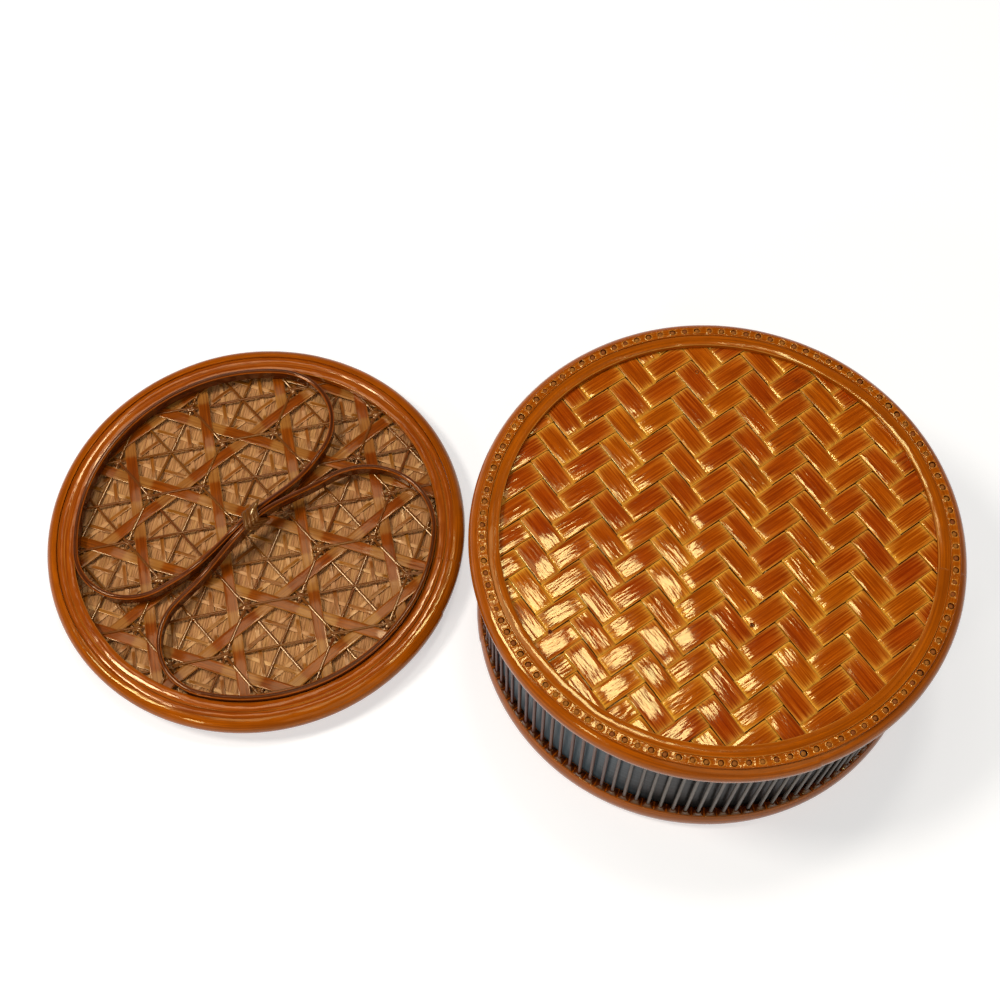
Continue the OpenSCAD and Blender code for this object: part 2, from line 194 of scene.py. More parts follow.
def add_node(tree, kind, inputs=None, **settings):
    """Adds a shader node. Each input is a value, or the node or socket that it is linked from."""
    node = tree.nodes.new("ShaderNode" + kind)
    for name, value in settings.items():
        setattr(node, name, value)
    for socket, value in (inputs or {}).items():
        if isinstance(value, bpy.types.Node):
            value = value.outputs[0]
        if isinstance(value, bpy.types.NodeSocket):
            tree.links.new(value, node.inputs[socket])
        else:
            node.inputs[socket].default_value = value
    return node


def empty_tree(owner):
    """The node tree of a material or a world, cleared of its nodes."""
    owner.use_nodes = True
    owner.node_tree.nodes.clear()
    return owner.node_tree


def add_object(name, data):
    """Adds an object to the scene."""
    thing = bpy.data.objects.new(name, data)
    bpy.context.scene.collection.objects.link(thing)
    return thing


class Finish(NamedTuple):
    """What one kind of bamboo and its lacquer give the eye."""

    material: str
    # Names of its colours: lit fibres, dark fibres, thin lacquer (on the liner a painted reflection of the
    # lit floor), and its gloss
    body: str
    shade: str
    rim: str
    gloss: str
    # Width and length of a fibre bundle, in millimetres
    fibre: float
    streak: float
    # How far strips differ in lightness, from 0 to 1
    spread: float
    # Height of the fibres in the surface, in millimetres
    relief: float
    roughness: float
    # Strength of the gloss: 0.5 for plain lacquer, more for a full coat and less where it is rubbed
    mirror: float


# Real fibre bundles are about 0.3 mm wide, too fine for the render, so they are drawn 0.5 to 1.2 mm wide
FINISHES = {
    # Split bamboo, bent wet and brushed with amber lacquer: long streaks and a golden gloss
    "amber_lacquer": Finish(
        "bent_bamboo_amber_lacquer", "amber", "amber_shade", "amber_rim", "gold_gloss",
        0.8, 45, 0.06, 0.05, 0.12, 0.4),
    # Flat bent bamboo under red-brown lacquer: even, with a soft gloss
    "red_lacquer": Finish(
        "bent_bamboo_red_lacquer", "red", "red_shade", "amber_rim", "cream_gloss",
        0.8, 40, 0.06, 0.1, 0.11, 0.55),
    # Wide split skin, woven and then lacquered: dark cells, golden where the lacquer is thin
    "twill_bamboo": Finish(
        "woven_bamboo_skin_lacquered", "twill", "twill_shade", "twill_rim", "gold_gloss",
        0.55, 22, 0.14, 0.09, 0.09, 0.42),
    # Drawn round sticks, greyed with handling: dull and dry, with lacquered ends, and painted dark with shade
    # on one side of the wall
    "stick_bamboo": Finish(
        "drawn_bamboo_sticks_greyed", "stick", "stick_shade", "stick_end", "dull_gloss",
        0.5, 30, 0.22, 0.02, 0.4, 0.3),
    # Thin bent sheet under black lacquer: rubbed dull, with a painted blue-grey reflection of the lit floor
    # on one side
    "dark_liner": Finish(
        "bent_sheet_black_lacquer", "liner", "liner_shade", "liner_painted_reflection", "cool_gloss",
        1.2, 60, 0, 0.005, 0.32, 0.06),
    # Split slats side by side, only sealed: pale, dry and finely lined
    "tan_backing": Finish(
        "split_slats_sealed", "backing", "backing_shade", "backing", "dull_gloss",
        0.8, 9, 0.1, 0.03, 0.4, 0.3),
    # Fine split strips with a thin coat: a little glossier than the slats behind them
    "fine_bamboo": Finish(
        "fine_split_strips_lacquered", "fine", "fine_shade", "backing", "cream_gloss",
        0.5, 15, 0.14, 0.03, 0.2, 0.4),
    # Thin rounded strips with a full coat: long glints along each strip
    "star_bamboo": Finish(
        "star_strips_lacquered", "star", "fine_shade", "backing", "cream_gloss",
        0.5, 15, 0.14, 0.015, 0.1, 1),
    # Wide split skin with a rubbed coat: brown, and tan where it dives under another strip
    "wide_bamboo": Finish(
        "wide_split_strips_lacquered", "wide", "wide_shade", "wide_rim", "cream_gloss",
        0.7, 25, 0.08, 0.04, 0.16, 0.4),
    # Smoked bamboo ribbon, bent on edge: dark, with worn corners
    "handle_bamboo": Finish(
        "smoked_bamboo_ribbon_lacquered", "handle", "handle_shade", "red", "red_gloss",
        0.6, 40, 0.05, 0.04, 0.1, 0.6),
    # Split cane skin, wound wet: smooth and dark, paler where hands have worn it
    "lashing_cane": Finish(
        "wound_cane_lacquered", "cane", "fine_shade", "amber_rim", "cream_gloss",
        0.5, 20, 0.1, 0.02, 0.12, 0.8),
}
LACQUER_IOR = 1.5
# How far the lighter strips turn to yellow and the darker ones to red, as a share of their spread
HUE_TURN = 0.05
# Sizes of torn fibre ends, of cloudy patches in the lacquer and of its brushed waves, in millimetres
TORN_LENGTH = 7
CLOUD_SIZE = 7
BRUSH_SIZE = 11
BRUSH_HEIGHT = 0.09
# Between which values of its noise a fibre lights up and lacquer clouds over, and how dense a cloud gets
FIBRE_SPAN = (0.34, 0.62)
CLOUD_SPAN = (0.4, 0.75)
CLOUD_MOST = 0.55
# Between which marks thin lacquer and the liner's painted reflection, and pooled lacquer and painted shade,
# come in, and how far noise breaks up their edges
THIN_SPAN = (0.1, 1.0)
POOL_AND_SHADE_SPAN = (0.25, 0.8)
RAGGED = 0.9


def lacquer_patterns(tree, finish):
    """Noises that follow the grain, each as long and as wide as the mark that it draws."""
    grain = add_node(tree, "Attribute", attribute_name="grain").outputs["Vector"]
    sizes = {
        "fibre": (finish.streak, finish.fibre, 4), "torn": (TORN_LENGTH, 2 * finish.fibre, 1),
        "cloud": (CLOUD_SIZE, CLOUD_SIZE / 2, 3), "brush": (BRUSH_SIZE, BRUSH_SIZE / 3, 1)}
    patterns = {}
    for name, (along, across, detail) in sizes.items():
        scales = (1 / along, 1 / across, 1)
        place = add_node(tree, "VectorMath", {0: grain, 1: scales}, operation="MULTIPLY")
        patterns[name] = add_node(tree, "TexNoise", {"Vector": place, "Scale": 1, "Detail": detail})
    lot = add_node(tree, "SeparateXYZ", {0: grain}).outputs["Z"]
    patterns["lot"] = add_node(tree, "TexWhiteNoise", {"W": lot}, noise_dimensions="1D")
    return patterns


def paint_shares(tree, finish, patterns):
    """How far each colour covers those before it, with the colour's name."""
    shares = []
    for pattern, span, most, name in (
            ("fibre", FIBRE_SPAN, 1, finish.body), ("cloud", CLOUD_SPAN, CLOUD_MOST, finish.shade)):
        share = add_node(tree, "MapRange", {
            "Value": patterns[pattern], "From Min": span[0], "From Max": span[1], "To Max": most})
        shares.append((share, name))
    lacquer = add_node(tree, "Attribute", attribute_name="lacquer").outputs["Vector"]
    marks = add_node(tree, "SeparateXYZ", {0: lacquer}).outputs
    for mark, edge, span, name in (
            ("X", "fibre", THIN_SPAN, finish.rim), ("Y", "torn", POOL_AND_SHADE_SPAN, "pool")):
        ragged = add_node(
            tree, "Math", {0: patterns[edge], 1: RAGGED, 2: -RAGGED / 2}, operation="MULTIPLY_ADD")
        reach = add_node(tree, "Math", {0: ragged, 1: marks[mark]}, operation="ADD")
        share = add_node(tree, "MapRange", {
            "Value": reach, "From Min": span[0], "From Max": span[1]}, interpolation_type="SMOOTHSTEP")
        shares.append((share, name))
    return shares


def lacquer_paint(tree, finish, patterns):
    """The colour: fibres and clouds, pale where the lacquer is thin and where a painted reflection lies, dark
    where it has pooled and where shade is painted.
    """
    paint = tint(finish.shade)
    for share, name in paint_shares(tree, finish, patterns):
        mix = add_node(tree, "Mix", {0: share, 6: paint, 7: tint(name)}, data_type="RGBA")
        paint = mix.outputs[2]
    own = {"Color": paint}
    for socket, middle, reach in (("Value", 1, finish.spread), ("Hue", 0.5, HUE_TURN * finish.spread)):
        own[socket] = add_node(tree, "MapRange", {
            "Value": patterns["lot"], "To Min": middle - reach, "To Max": middle + reach})
    return add_node(tree, "HueSaturation", own)


def lacquer_material(finish):
    """Bamboo under clear lacquer: light that goes through the lacquer and back comes out golden."""
    material = bpy.data.materials.new(finish.material)
    tree = empty_tree(material)
    patterns = lacquer_patterns(tree, finish)
    waves = add_node(tree, "Bump", {"Height": patterns["brush"], "Distance": BRUSH_HEIGHT * MM})
    relief = add_node(
        tree, "Bump", {"Height": patterns["torn"], "Distance": finish.relief * MM, "Normal": waves})
    shader = add_node(tree, "BsdfPrincipled", {
        "Base Color": lacquer_paint(tree, finish, patterns), "Roughness": finish.roughness,
        "IOR": LACQUER_IOR, "Specular IOR Level": finish.mirror, "Specular Tint": tint(finish.gloss),
        "Normal": relief})
    add_node(tree, "OutputMaterial", {"Surface": shader})
    return material


def finish_of(slot):
    """The material of a slot, made when it is first asked for."""
    finish = FINISHES[slot]
    return bpy.data.materials.get(finish.material) or lacquer_material(finish)


class Shape:
    """Grids of points that become one mesh, with what the materials read off each point.

    grain is the place along a strip, the place across it and the strip's own number.
    lacquer is how thin it is (on the liner, how far its painted reflection reaches) and how far it is
    darkened by pooled lacquer and painted shade, both from 0 to 1.
    """

    def __init__(self):
        self.points, self.grain, self.lacquer, self.faces = [], [], [], []
        self.size = 0

    def add(self, points, grain, lacquer=(0, 0), ring=False, tube=False, caps=False):
        """Adds a grid: ring joins its last row to its first, tube its columns, and caps fill its ends."""
        rows, columns = points.shape[:2]
        number = np.arange(rows * columns).reshape(rows, columns) + self.size
        if caps:
            self.faces += [number[0, ::-1].tolist(), number[-1].tolist()]
        if tube:
            number = np.hstack([number, number[:, :1]])
        if ring:
            number = np.vstack([number, number[:1]])
        corners = (number[:-1, :-1], number[:-1, 1:], number[1:, 1:], number[1:, :-1])
        self.faces += np.stack(corners, -1).reshape(-1, 4).tolist()
        self.points.append(points.reshape(-1, 3))
        for kept, values in ((self.grain, grain), (self.lacquer, (*lacquer, 0))):
            spread = [np.broadcast_to(value, (rows, columns)) for value in values]
            kept.append(np.stack(spread, -1).reshape(-1, 3))
        self.size += rows * columns

    def mesh(self, name):
        """The welded mesh, smooth except at its creases."""
        mesh = bpy.data.meshes.new(name)
        mesh.from_pydata(np.concatenate(self.points) * MM, [], self.faces)
        for layer, values in (("grain", self.grain), ("lacquer", self.lacquer)):
            attribute = mesh.attributes.new(layer, "FLOAT_VECTOR", "POINT")
            attribute.data.foreach_set("vector", np.concatenate(values).astype(np.float32).ravel())
        work = bmesh.new()
        work.from_mesh(mesh)
        bmesh.ops.remove_doubles(work, verts=work.verts, dist=WELD * MM)
        bmesh.ops.recalc_face_normals(work, faces=work.faces)
        work.to_mesh(mesh)
        work.free()
        mesh.shade_smooth()
        mesh.set_sharp_from_angle(angle=math.radians(CREASE))
        return mesh


def make_piece(node, shape, slot):
    """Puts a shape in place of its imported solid, on the same body."""
    mesh = shape.mesh("lacquered_" + node)
    mesh.materials.append(finish_of(slot))
    piece = add_object(mesh.name, mesh)
    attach(piece, frame["nodes"][node]["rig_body"])
    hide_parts(node)


def smooth(share):
    """Eases a share from 0 to 1."""
    share = np.clip(share, 0, 1)
    return share * share * (3 - 2 * share)


def any_phase(rng):
    """A random phase of a wave, in radians."""
    return rng.uniform(0, 6)


def direction(degrees):
    """A unit vector on the table."""
    return np.array([math.cos(math.radians(degrees)), math.sin(math.radians(degrees))])


def sides_of(number):
    """Evenly spaced angles round a full turn."""
    return np.arange(number) / number * TURN


def around(axis, out, angles, up):
    """Points at given distances out from an axis, angles round it and heights."""
    plan = (axis[0] + out * np.cos(angles), axis[1] + out * np.sin(angles))
    return np.stack(np.broadcast_arrays(*plan, up), -1)


def raised(plan, up):
    """Points on the table, raised to given heights."""
    return np.concatenate([plan, np.broadcast_to(up, plan.shape[:-1])[..., None]], -1)


def columns_of(rows):
    """The columns of a list of rows, each upright."""
    return (np.array(values)[:, None] for values in zip(*rows))


# Turns from the start of a rounded corner, in degrees, and steps over a crowned top and a bowed side
CORNER_TURNS = (0, 22.5, 45, 67.5, 90)
CROWN_STEPS = 11
BOW_STEPS = 15
# Length over which a side gets two more points, and how far inside its ends these lie
LONG_SIDE = 1.0
SUPPORT = 0.4


def flat_section(low, high, bevel, crown=0):
    """A rounded rectangle from low to high, as (out, up) points that start and end at its bottom.

    Its top is crowned: its corners lie lower than its middle.
    """
    points = []
    edge = high[1] - crown
    corners = ((high[0], low[1], -90), (high[0], edge, 0), (low[0], edge, 90), (low[0], low[1], 180))
    for x, y, turn in corners:
        corner = np.array([x, y])
        middle = corner + np.copysign(bevel, np.add(low, high) - 2 * corner)
        points += [middle + bevel * direction(turn + step) for step in CORNER_TURNS]
        if crown and turn == 0:
            points += crown_points(low[0] + bevel, high[0] - bevel, edge, crown)
    return with_supports(np.array(points))


def crown_points(start, end, edge, crown):
    """Points of a crowned top, from its end back to its start, without these two."""
    shares = np.linspace(1, -1, CROWN_STEPS)[1:-1]
    return [np.array([(start + end) / 2 + share * (end - start) / 2, edge + crown * (1 - share ** 2)])
            for share in shares]


def with_supports(section):
    """The section with points added just inside its long sides, so that these stay flat in the light."""
    points = []
    for here, there in zip(section, np.roll(section, -1, 0)):
        points.append(here)
        side = np.linalg.norm(there - here)
        if side > LONG_SIDE:
            points += [here + (there - here) * share for share in (SUPPORT / side, 1 - SUPPORT / side)]
    return np.array(points)


def bowed_section(inner, outer, low, high):
    """A half-round section with its flat side inside, as (out, up) points from its lower corner."""
    tall = (high - low) / 2
    wide = outer - inner
    bend = (tall * tall + wide * wide) / (2 * wide)
    sweep = math.acos((bend - wide) / bend)
    turns = np.linspace(-sweep, sweep, BOW_STEPS)
    up = np.clip(bend * np.sin(turns), -tall, tall)
    return np.stack([outer - bend + bend * np.cos(turns), (low + high) / 2 + up], -1)


def perimeter(section):
    """Distance of each point of a section from its first."""
    return np.concatenate([[0], np.cumsum(np.linalg.norm(np.diff(section, axis=0), axis=1))])


# Steps round a hoop, its waves to a turn, and how much their sum weighs
HOOP_STEPS = 720
HOOP_WAVES = (2, 3, 5, 8, 13, 21)
WAVE_SHARE = 0.35
# Slope by which the face of a hoop may twist
HOOP_TWIST = 0.2
# Most that pooled lacquer and painted shade darken the groove beside a half-round hoop
GROOVE_POOL_AND_SHADE = 0.3
# Reach of the wear below and beside the corners of a flat hoop, in bevels
WEAR_BELOW = 1.5
WEAR_BESIDE = 1.6


def hoop_wave(angles, rng, reach):
    """How far a bent hoop lies inside its true circle at each angle."""
    wave = sum(np.sin(n * angles + rng.uniform(0, TURN)) / n for n in HOOP_WAVES)
    return -reach * smooth(0.5 + WAVE_SHARE * wave)


def lap_step(angles, place, depth, reach):
    """The end of a bent hoop laps over its start: a step in at place, that dies away over reach degrees."""
    past = (np.degrees(angles) - place) % 360
    return -depth * np.clip(1 - past / reach, 0, 1)


def add_hoop(shape, axis, section, lacquer, rng, lap=None):
    """A hoop of the given section bent round an axis."""
    angles = sides_of(HOOP_STEPS)[:, None]
    stray = hoop_wave(angles, rng, mm("hoop_wave"))
    if lap:
        stray = stray + lap_step(angles, *lap)
    twist = hoop_wave(angles * 3, rng, HOOP_TWIST) + HOOP_TWIST / 2
    off_middle = section - section.mean(0)
    up = section[:, 1] + twist * off_middle[:, 0] * (off_middle[:, 1] > 0)
    points = around(axis, section[:, 0] + stray, angles, up)
    grain = (angles * section[:, 0].mean(), perimeter(section), 0)
    shape.add(points, grain, lacquer, ring=True, tube=True)


def groove_marks(section, reach):
    """Pooled lacquer and painted shade in the grooves, at the two inner corners of a half-round hoop."""
    from_ends = np.minimum(perimeter(section), perimeter(section)[::-1])
    return 0, GROOVE_POOL_AND_SHADE * smooth(1 - from_ends / reach)


def edge_marks(section, bevel, worn, crown):
    """Lacquer worn thin on the upper corners of a flat hoop or ribbon."""
    low, high = section.min(0), section.max(0)
    from_corner = np.minimum(section[:, 0] - low[0], high[0] - section[:, 0])
    upper = section[:, 1] > high[1] - crown - WEAR_BELOW * bevel
    return worn * upper * smooth(1 - from_corner / (WEAR_BESIDE * bevel)), 0


class BowedHoop(NamedTuple):
    """A half-round hoop under amber lacquer, with one end lapped over the other."""

    node: str
    axis: np.ndarray
    inner: float
    outer: float
    low: float
    high: float
    # How far along its section the pooled lacquer and painted shade in its grooves reach
    groove: float
    # Where the lap is, its depth, and how far round it dies away
    lap_at: float
    lap_depth: float
    lap_reach: float


def make_bowed_hoop(hoop, rng):
    """Makes a half-round hoop."""
    section = bowed_section(hoop.inner, hoop.outer, hoop.low, hoop.high)
    lap = (hoop.lap_at, hoop.lap_depth, hoop.lap_reach)
    shape = Shape()
    add_hoop(shape, hoop.axis, section, groove_marks(section, hoop.groove), rng, lap)
    make_piece(hoop.node, shape, "amber_lacquer")


class FlatHoop(NamedTuple):
    """A flat hoop, from its low inner corner to its high outer one."""

    node: str
    slot: str
    axis: np.ndarray
    low: tuple
    high: tuple
    bevel: float
    crown: float
    # How thin the lacquer is on its upper corners
    worn: float


def make_flat_hoop(hoop, rng):
    """Makes a flat hoop."""
    section = flat_section(hoop.low, hoop.high, hoop.bevel, hoop.crown)
    shape = Shape()
    marks = edge_marks(section, hoop.bevel, hoop.worn, hoop.crown)
    add_hoop(shape, hoop.axis, section, marks, rng)
    make_piece(hoop.node, shape, hoop.slot)


# Steps along each side of a drilled cell, which reaches from one stick to the next
CELL_STEPS = 6
# Radius of the circle on which the sticks stand, and of their holes
STICK_CIRCLE = 94.2
STICK_HOLE = 1.14
# Radius of the edges of a drilled hoop, and half the flat width between them
DRILLED_BEVEL = 0.2
DRILLED_FLAT = 1.8
# How far holes differ in width, how oval they are, and how far they lie off their places
HOLE_SPREAD = 0.1
HOLE_OVAL = 0.06
HOLE_SHIFT = 0.08
# How far a lump in the lip of a hole falls short of its full height, and by what factor lips differ
LIP_LUMP = 0.13
LIP_SPREAD = (0.5, 1.6)


def cell_border(half_long):
    """The border of one drilled cell: places along the hoop, places out from its middle, and directions."""
    run = np.arange(CELL_STEPS) / CELL_STEPS * 2 - 1
    long_places = np.concatenate([run, np.ones(CELL_STEPS), -run, -np.ones(CELL_STEPS)])
    out_places = np.concatenate([np.ones(CELL_STEPS), -run, -np.ones(CELL_STEPS), run])
    return long_places * half_long, out_places * DRILLED_FLAT, np.arctan2(out_places, long_places)


def cell_angles():
    """Angles of the points of all cells along the edge of a drilled hoop."""
    sticks = count("stick_count")
    return (np.arange(sticks * CELL_STEPS) / CELL_STEPS * 2 - 1)[:, None] * math.pi / sticks


def add_drilled_hoop(shape, rows, low, high, rng):
    """A flat hoop with a hole for each stick.

    A row of its cells is a share of the border, a hole radius, a height, how thin its lacquer is, and how far
    it is darkened by pooled lacquer and painted shade.
    """
    half_angle = math.pi / count("stick_count")
    long_places, out_places, turns = cell_border(half_angle * STICK_CIRCLE)
    share, hole, up, thin, pooled_and_shaded = columns_of(rows)
    for stick in range(count("stick_count")):
        uneven = 1 + rng.normal(0, HOLE_SPREAD) + HOLE_OVAL * np.sin(2 * turns + any_phase(rng))
        shift = rng.normal(0, HOLE_SHIFT, 2)
        along = share * long_places + (1 - share) * (hole * uneven * np.cos(turns) + shift[0])
        out = share * out_places + (1 - share) * (hole * uneven * np.sin(turns) + shift[1]) + STICK_CIRCLE
        angle = 2 * half_angle * stick + along / STICK_CIRCLE
        lump = np.sin(3 * turns + any_phase(rng)) * np.sin(2 * turns + any_phase(rng))
        lump = rng.uniform(*LIP_SPREAD) * LIP_LUMP * (share < 0.5) * (1 + lump)
        points = around(BOX_AXIS, out, angle, up - lump)
        shape.add(points, (angle * STICK_CIRCLE, out, 0), (thin, pooled_and_shaded), tube=True)
    add_drilled_sides(shape, low, high)


def add_drilled_sides(shape, low, high):
    """The two sides of a drilled hoop, with rounded edges that meet the cells."""
    turns = np.linspace(0, math.pi / 2, 4)
    upper = high - DRILLED_BEVEL * (1 - np.cos(turns))
    up = np.concatenate([upper, low + high - upper[::-1]])
    for side in (1, -1):
        out = STICK_CIRCLE + side * (DRILLED_FLAT + DRILLED_BEVEL * np.sin(turns))
        points = around(BOX_AXIS, np.concatenate([out, out[::-1]]), cell_angles(), up)
        shape.add(points, (cell_angles() * STICK_CIRCLE, up, 0), ring=True)


def add_mouth_foot(shape):
    """The flat foot of the mouth hoop, that stands on the table."""
    out = STICK_CIRCLE + np.linspace(-DRILLED_FLAT, DRILLED_FLAT, 4)
    shape.add(around(BOX_AXIS, out, cell_angles(), 0), (cell_angles() * STICK_CIRCLE, out, 0), ring=True)


# Top of the lips round the stick holes, face of the drilled hoop below them, and foot of the base hoops
BASE_TOP = 87.0
BASE_FACE = 86.75
BASE_LOW = 76.0
BASE_OUTER = BowedHoop(
    "base_outer_hoop", BOX_AXIS, inner=96.3, outer=100, low=BASE_LOW, high=85.4, groove=2,
    lap_at=300, lap_depth=0.35, lap_reach=50)
BASE_INNER = FlatHoop(
    "base_inner_hoop", "amber_lacquer", BOX_AXIS, (87.5, 84), (92.17, 86.7), bevel=0.3, crown=0.2, worn=0.6)
# A drilled cell of the base: a lumpy golden lip round each hole, hole walls painted dark with shade, and
# pooled lacquer with painted shade where the stick goes in below
BASE_CELL = (
    (1, 0, BASE_FACE, 0.1, 0), (0.6, STICK_HOLE, BASE_FACE, 0.1, 0),
    (0.3, STICK_HOLE, BASE_FACE + 0.12, 0.3, 0), (0.14, STICK_HOLE, BASE_TOP - 0.03, 0.5, 0),
    (0.04, STICK_HOLE, BASE_TOP - 0.08, 0.3, 0.1), (0, STICK_HOLE, BASE_FACE - 0.1, 0, 0.4),
    (0, STICK_HOLE, BASE_FACE - 1, 0, 1), (0, STICK_HOLE, BASE_LOW + 1, 0, 1),
    (0, STICK_HOLE, BASE_LOW - 0.5, 0, 1), (0.12, STICK_HOLE, BASE_LOW - 0.3, 0, 1),
    (0.35, STICK_HOLE, BASE_LOW, 0, 0.8), (1, 0, BASE_LOW, 0, 0.4))


class BAMBOO_OT_base_hoops(bpy.types.Operator):
    """Bends the three hoops round the base"""

    bl_idname = "bamboo_box.base_hoops"
    bl_label = "Base hoops"

    def execute(self, context):
        rng = np.random.default_rng(11)
        make_bowed_hoop(BASE_OUTER, rng)
        drilled = Shape()
        add_drilled_hoop(drilled, BASE_CELL, BASE_LOW, BASE_FACE, rng)
        make_piece("base_stick_hoop", drilled, "amber_lacquer")
        make_flat_hoop(BASE_INNER, rng)
        return {"FINISHED"}


MOUTH_TOP = 11.0
MOUTH_OUTER = BowedHoop(
    "mouth_outer_hoop", BOX_AXIS, inner=96.3, outer=97.9, low=0, high=MOUTH_TOP, groove=1.2,
    lap_at=200, lap_depth=0.3, lap_reach=40)
# A drilled cell of the mouth ring: lacquer has run down each stick and stands round its foot, and painted
# shade darkens the foot, the hoop's top between the sticks and the hole walls
MOUTH_CELL = (
    (1, 0, MOUTH_TOP, 0.2, 0.3), (0.8, STICK_HOLE, MOUTH_TOP + 0.2, 0, 0.7),
    (0.55, STICK_HOLE, MOUTH_TOP + 0.6, 0, 1), (0.3, STICK_HOLE, MOUTH_TOP + 1.1, 0, 1),
    (0.12, STICK_HOLE, MOUTH_TOP + 1.7, 0, 1), (0.02, STICK_HOLE, MOUTH_TOP + 2.2, 0, 1),
    (0, STICK_HOLE - 0.3, MOUTH_TOP + 2.4, 0, 1), (0, STICK_HOLE, MOUTH_TOP - 1, 0, 1),
    (0, STICK_HOLE, 2.5, 0, 1), (0, 0.1, 2.45, 0, 1))


class BAMBOO_OT_mouth_hoops(bpy.types.Operator):
    """Bends the two hoops round the mouth"""

    bl_idname = "bamboo_box.mouth_hoops"
    bl_label = "Mouth hoops"

    def execute(self, context):
        rng = np.random.default_rng(12)
        make_bowed_hoop(MOUTH_OUTER, rng)
        drilled = Shape()
        add_drilled_hoop(drilled, MOUTH_CELL, 0, MOUTH_TOP, rng)
        add_mouth_foot(drilled)
        make_piece("mouth_stick_hoop", drilled, "amber_lacquer")
        return {"FINISHED"}


# Painted light on the wall: the side where the liner gets a painted blue-grey reflection of the lit floor and
# the sticks get painted shade, how far round it reaches and how soft the change is
LIT_SIDE_AT = 205
LIT_SIDE_REACH = 75
LIT_SIDE_EDGE = 45


def lit_side_share(degrees):
    """How far the painted reflection on the liner and the painted shade on the sticks reach at an angle, from
    0 to 1.
    """
    away = np.abs((degrees - LIT_SIDE_AT + 180) % 360 - 180)
    return smooth((LIT_SIDE_REACH - away) / LIT_SIDE_EDGE)


STICK_LOW = 2.6
STICK_HIGH = 86.72
STICK_SIDES = 12
# Places of a stick's rings from its nearer end
STICK_RINGS = np.array([0, 0.06, 0.2, 0.5, 1.5, 8, 10, 12, 20, 30])
# Length of its rounded ends, what they leave of its section, and its share of width between the hoops
STICK_ROUND = 0.5
STICK_TIP = 0.08
STICK_WAIST = 0.72
# How oval a stick is, and how far inside its width it stays
STICK_OVAL = 0.03
STICK_SLACK = 0.04
# Length of its lacquered upper end and how thin the coat is there
STICK_END = 2
STICK_THIN = 0.9
# How far lacquer, with painted shade, stands up its foot, and how dark the painted shade is on the side of
# the wall where the liner carries its painted reflection
STICK_RUN = 2.5
STICK_PAINTED_SHADE = 0.8


def stick_outline():
    """Heights of a stick's rings and their radii."""
    heights = np.concatenate([STICK_LOW + STICK_RINGS, (STICK_HIGH - STICK_RINGS)[::-1]])
    near_end = np.minimum(heights - STICK_LOW, STICK_HIGH - heights)
    short = np.clip(1 - near_end / STICK_ROUND, 0, 1)
    radius = mm("stick_width") / 2 * np.sqrt(np.clip(1 - short ** 2, STICK_TIP, 1))
    free = (heights > MOUTH_TOP) & (heights < BASE_LOW)
    return heights[:, None], (radius * np.where(free, STICK_WAIST, 1))[:, None]


def add_stick(shape, stick, rng):
    """One stick: drawn round, slightly bowed, dark at its foot with pooled lacquer and painted shade, and
    painted dark with shade on one side of the wall.
    """
    turn = 360 * stick / count("stick_count")
    out, beside = direction(turn), direction(turn + 90)
    heights, radius = stick_outline()
    bow = np.sin(math.pi * (heights - STICK_LOW) / (STICK_HIGH - STICK_LOW)) * mm("stick_bow")
    drift = rng.uniform(-1, 1, 2)
    sides = sides_of(STICK_SIDES)
    ring = radius * (1 + STICK_OVAL * np.sin(2 * sides + any_phase(rng)) - STICK_SLACK)
    middle = BOX_AXIS + STICK_CIRCLE * out + bow * (drift[0] * out * 0.5 + drift[1] * beside)
    plan = middle[:, None] + (ring * np.cos(sides))[..., None] * out
    plan = plan + (ring * np.sin(sides))[..., None] * beside
    end = heights > BASE_TOP - STICK_END
    # Painted shade on the foot, which also has pooled lacquer, and on the sticks on one side of the wall; the
    # lacquered upper end is left out
    pooled_and_shaded = np.where(heights < MOUTH_TOP + STICK_RUN, 1, STICK_PAINTED_SHADE * lit_side_share(turn)) * ~end
    grain = (heights, sides * mm("stick_width") / 2, stick)
    shape.add(raised(plan, heights), grain, (STICK_THIN * end, pooled_and_shaded), tube=True, caps=True)


class BAMBOO_OT_wall_sticks(bpy.types.Operator):
    """Sets the sticks of the wall in their holes"""

    bl_idname = "bamboo_box.wall_sticks"
    bl_label = "Wall sticks"

    def execute(self, context):
        rng = np.random.default_rng(13)
        sticks = Shape()
        for stick in range(count("stick_count")):
            add_stick(sticks, stick, rng)
        make_piece("wall_sticks", sticks, "stick_bamboo")
        return {"FINISHED"}


LINER_LOW = (90.5, 0)
LINER_HIGH = (92.1, 80.4)
LINER_BEVEL = 0.3


class BAMBOO_OT_wall_liner(bpy.types.Operator):
    """Bends the dark liner behind the sticks"""

    bl_idname = "bamboo_box.wall_liner"
    bl_label = "Wall liner"

    def execute(self, context):
        section = flat_section(LINER_LOW, LINER_HIGH, LINER_BEVEL)
        liner = Shape()
        # Painted reflection: blue-grey where the liner would mirror the lit floor
        light = lit_side_share(np.degrees(sides_of(HOOP_STEPS)))[:, None]
        add_hoop(liner, BOX_AXIS, section, (light, 0), np.random.default_rng(14))
        make_piece("wall_liner", liner, "dark_liner")
        return {"FINISHED"}


# Places across the top of a strip, as shares of half its width
STRIP_SHARES = np.array([-1, -0.96, -0.86, -0.6, -0.3, 0, 0.3, 0.6, 0.86, 0.96, 1])


def strip_section(width, thick, crown, power):
    """A flat strip with its upper corners eased: places across it and heights over its middle."""
    across = np.concatenate([STRIP_SHARES, [1, -1]]) * width / 2
    top = thick / 2 - crown * np.abs(STRIP_SHARES) ** power
    return across, np.concatenate([top, [-thick / 2, -thick / 2]])


